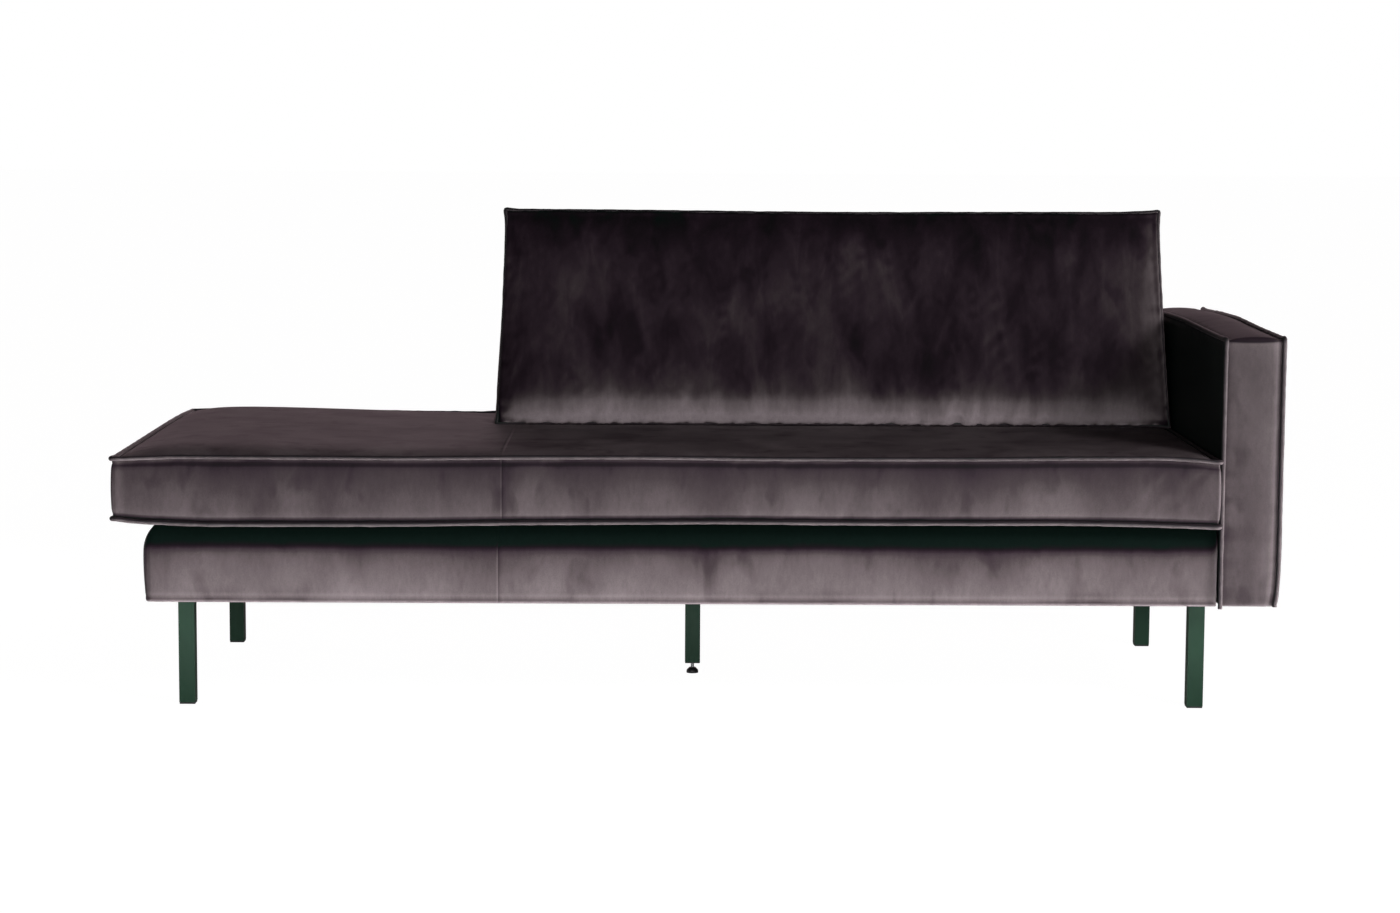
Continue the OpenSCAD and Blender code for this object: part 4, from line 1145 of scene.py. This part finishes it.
def make_base():
    us, vs = stations(base_low[0], base_high[0], 0.0135), stations(base_low[1], base_high[1], 0.022)
    slab = Slab(us, vs, BASE_ROWS)
    s = slab
    x, y, z = rolled(s, base_low, base_high, ROLL_OUT, ROLL_UP)
    x, y = round_plan(x, y, base_low, base_high, np.where(x > 0, 0.004, 0.018))
    belly = np.where(s.boxing | s.seam, np.sin(pi * s.w**0.85) * (1 - 0.6 * np.exp(-s.reach / 0.03)), 0)
    x = x + np.where(s.u < 0, s.out_u * 0.006 * belly, s.out_u * 0.0025 * np.exp(-s.reach / 0.05))
    y = y + s.out_v * 0.003 * belly
    # The cover's edge, turned under and stapled, hangs just below the dust cover
    z = z - 0.0042 * np.where(s.panel == 0, np.exp(-s.inset / 0.012), np.clip(1 - s.w / 0.11, 0, 1))
    points = np.stack([x, y, z], 1)
    base = new_object("base_cover", points, slab.quads, BASE_VELVET)
    hold = np.where(s.w < 1e-6, 1.0, np.where(s.panel == 1, 0.95, 0.85 + 0.04 * wavy(points, 0.2, 101)))
    settle(base, hold, pressure=1.0, slack=0.003, cap=0.002)
    refine(base, slab, creased=False)
    points = coordinates(base.data)
    normals = coordinates(base.data, "vertex_normals", "vector")
    above_hem = np.clip((points[:, 2] - base_low[2]) / 0.02, 0, 1)
    below_top = np.clip((base_high[2] - points[:, 2]) / 0.03, 0, 1)
    depth = 0.0005 * wavy(points / np.array([0.07, 0.07, 0.22]), 1.0, 103) * above_hem * below_top
    depth -= 0.0005 * np.exp(-(((points[:, 2] - base_low[2] - 0.006) / 0.0025) ** 2))
    set_coordinates(base.data, points + normals * depth[:, None])
    return base


# ---------- Zips ----------

def box_faces(low, high):
    corners = [(x, y, z) for x in (low[0], high[0]) for y in (low[1], high[1]) for z in (low[2], high[2])]
    return corners, [(0, 1, 3, 2), (4, 6, 7, 5), (0, 4, 5, 1), (2, 3, 7, 6), (0, 2, 6, 4), (1, 5, 7, 3)]


def add_boxes(name, boxes, material, bevel=0.0):
    points, faces = [], []
    for low, high in boxes:
        start = len(points)
        corners, sides = box_faces(low, high)
        points.extend(corners)
        faces.extend(tuple(start + n for n in side) for side in sides)
    piece = new_object(name, points, faces, material)
    if bevel:
        rounder = piece.modifiers.new("bevel", "BEVEL")
        rounder.width = bevel
        rounder.segments = 2
    return piece


def thin_and_across(low, high):
    """A zip part's thin axis and the one across it. Its length runs along X."""
    thin = int(np.argmin(high - low))
    return thin, ({0, 1, 2} - {0, thin}).pop()


def make_zip(node, outward):
    """Interlocked teeth on a woven tape. outward is +1 along the node's thin axis, or -1 against it."""
    low, high = limits(node)
    thin, across = thin_and_across(low, high)
    middle = (low[across] + high[across]) / 2
    tape_thick = 0.4 * (high[thin] - low[thin])
    split = low[thin] + tape_thick if outward > 0 else high[thin] - tape_thick
    inner, outer = (1, 0) if outward > 0 else (0, 1)
    tape = low.copy(), high.copy()
    tape[inner][thin] = split
    boxes = [tape]
    pitch = 0.0022
    for n, x in enumerate(np.arange(low[0] + 0.005, high[0] - 0.005, pitch / 2)):
        near, far = (-0.0007, 0.0021) if n % 2 else (-0.0021, 0.0007)
        tooth = low.copy(), high.copy()
        tooth[0][0], tooth[1][0] = x, x + 0.38 * pitch
        tooth[0][across], tooth[1][across] = middle + near, middle + far
        tooth[outer][thin] = split
        boxes.append(tooth)
    return add_boxes(node + "_teeth", boxes, MATERIALS["zip"])


def make_slider(node, outward):
    """A zip's slider: a bevelled body under a narrower pull tab. outward is the tab's side."""
    low, high = limits(node)
    thin, across = thin_and_across(low, high)
    body, tab = (low.copy(), high.copy()), (low.copy(), high.copy())
    level = low[thin] + (0.6 if outward > 0 else 0.4) * (high[thin] - low[thin])
    inner, outer = (1, 0) if outward > 0 else (0, 1)
    body[inner][thin] = level
    tab[outer][thin] = level
    for axis, narrower in ((across, 0.002), (0, 0.001)):
        tab[0][axis] += narrower
        tab[1][axis] -= narrower
    return add_boxes(node + "_body", [body, tab], MATERIALS["zinc"], bevel=0.0005)


# ---------- Dust cover ----------

DUST_EDGE = limits("dust_cover")[0][0] - base_low[0]
DUST_TOP = limits("dust_cover")[1][2]
LEGS = ["leg_front_left", "leg_front_right", "leg_rear_left", "leg_rear_right", "middle_leg"]


def make_dust_cloth(name, low, high, sag):
    """Thin cloth stapled under a box along its edges. It hangs slack clear of them, the rail and the legs."""
    low, high = low[:2] + DUST_EDGE, high[:2] - DUST_EDGE
    size = high - low
    xs, ys = (np.linspace(low[k], high[k], int(size[k] / 0.015) + 2) for k in (0, 1))
    u, v = (grid.ravel() for grid in np.meshgrid(xs, ys, indexing="ij"))
    rim = np.minimum.reduce([u - low[0], high[0] - u, v - low[1], high[1] - v])
    slack = smoothstep(rim, 0.03, 0.03 + min(size) * 0.2)
    for node in LEGS + ["base_centre_rail"]:
        start, end = limits(node)
        beside = np.maximum(0, np.maximum(start[0] - u, u - end[0]))
        before = np.maximum(0, np.maximum(start[1] - v, v - end[1]))
        slack = slack * smoothstep(np.hypot(beside, before), 0.004, 0.09)
    wrinkle = wavy(np.stack([u, 0.25 * v, 0 * u], 1), 0.06, 121)
    z = DUST_TOP - 0.0006 - slack * (sag + 0.1 * sag * wrinkle)
    columns = len(ys)
    faces = [
        (i * columns + j, i * columns + j + 1, (i + 1) * columns + j + 1, (i + 1) * columns + j)
        for i in range(len(xs) - 1) for j in range(columns - 1)
    ]
    cloth = new_object(name, np.stack([u, v, z], 1), faces, MATERIALS["dust_fabric"])
    staples = []
    for along in (0, 1):
        half = np.array([0.0006, 0.0006, 0.0005])
        half[along] = 0.006
        for at in np.arange(low[along] + 0.05, high[along] - 0.03, 0.07):
            for side in (low[1 - along] + 0.012, high[1 - along] - 0.012):
                middle = np.array([side, side, DUST_TOP - 0.0012])
                middle[along] = at
                staples.append((middle - half, middle + half))
    return cloth, add_boxes(name + "_staples", staples, MATERIALS["zinc"]), tuple(size)


# ---------- Assembly ----------

def place(piece, body, slot, *nodes, fill=None):
    """Puts a piece on a body, in place of CAD nodes, which it hides. slot and fill are not used."""
    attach(piece, body)
    if nodes:
        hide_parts(*nodes)


add_camera()
add_world()
add_floor()
add_area_light("key", (3.1, -3.5, 2.4), (0.1, 0.0, 0.40), (1.4, 1.0), 84)
add_area_light("front_fill", (-0.4, -4.4, 0.85), (0.0, 0.0, 0.42), (3.0, 0.5), 47)
add_area_light("low_front", (0.0, -0.86, 0.02), (0.0, -0.38, 0.30), (3.0, 0.06), 3.2, spread=1.4)
add_area_light("low_left", (-2.3, 0.9, 0.12), (0.0, 0.1, 0.10), (0.8, 0.2), 8)
dress_cad_nodes()

base = make_base()
place(base, "frame", "velvet", "base_cover", "base_foam", "deck_felt", fill=0.9)
arm, arm_piping = make_arm()
place(arm, "frame", "velvet", "arm_cover", "arm_foam", fill=0.9)
place(arm_piping, "frame", "velvet", "arm_piping")
back_frame, back_frame_piping = make_back_frame()
place(back_frame, "frame", "velvet", "back_frame_cover", "back_frame_foam", fill=0.9)
place(back_frame_piping, "frame", "velvet", "back_frame_piping")
seat, seat_piping = make_seat()
seat_nodes = "seat_cushion_cover", "seat_cushion_core", "seat_cushion_wadding"
place(seat, "seat_cushion", "velvet", *seat_nodes, fill=0.85)
place(seat_piping, "seat_cushion", "velvet", "seat_cushion_piping")
place(make_zip("seat_zip", 1), "seat_cushion", "zip", "seat_zip")
pillow, pillow_piping = make_pillow()
place(pillow, "back_cushion", "velvet", "back_cushion_cover", "back_cushion_fill", fill=0.7)
place(pillow_piping, "back_cushion", "velvet", "back_cushion_piping")
place(make_zip("back_zip", -1), "back_cushion", "zip", "back_zip")

place(make_slider("seat_zip_slider", 1), "seat_zip_slider", "zinc", "seat_zip_slider")
place(make_slider("back_zip_slider", -1), "back_zip_slider", "zinc", "back_zip_slider")
for name, box, sag, rail in (
    ("base_dust_cloth", (base_low, base_high), 0.0065, "base_front_rail"),
    ("arm_dust_cloth", (arm_low, arm_high), 0.0015, "arm_bottom_rail"),
):
    cloth, staples, size = make_dust_cloth(name, *box, sag)
    place(cloth, "frame", "dust_fabric", "dust_cover")
    place(staples, "frame", "zinc")

view = bpy.context.scene.view_settings
view.view_transform = "Standard"
view.look = "None"
bpy.context.scene.cycles.use_denoising = True
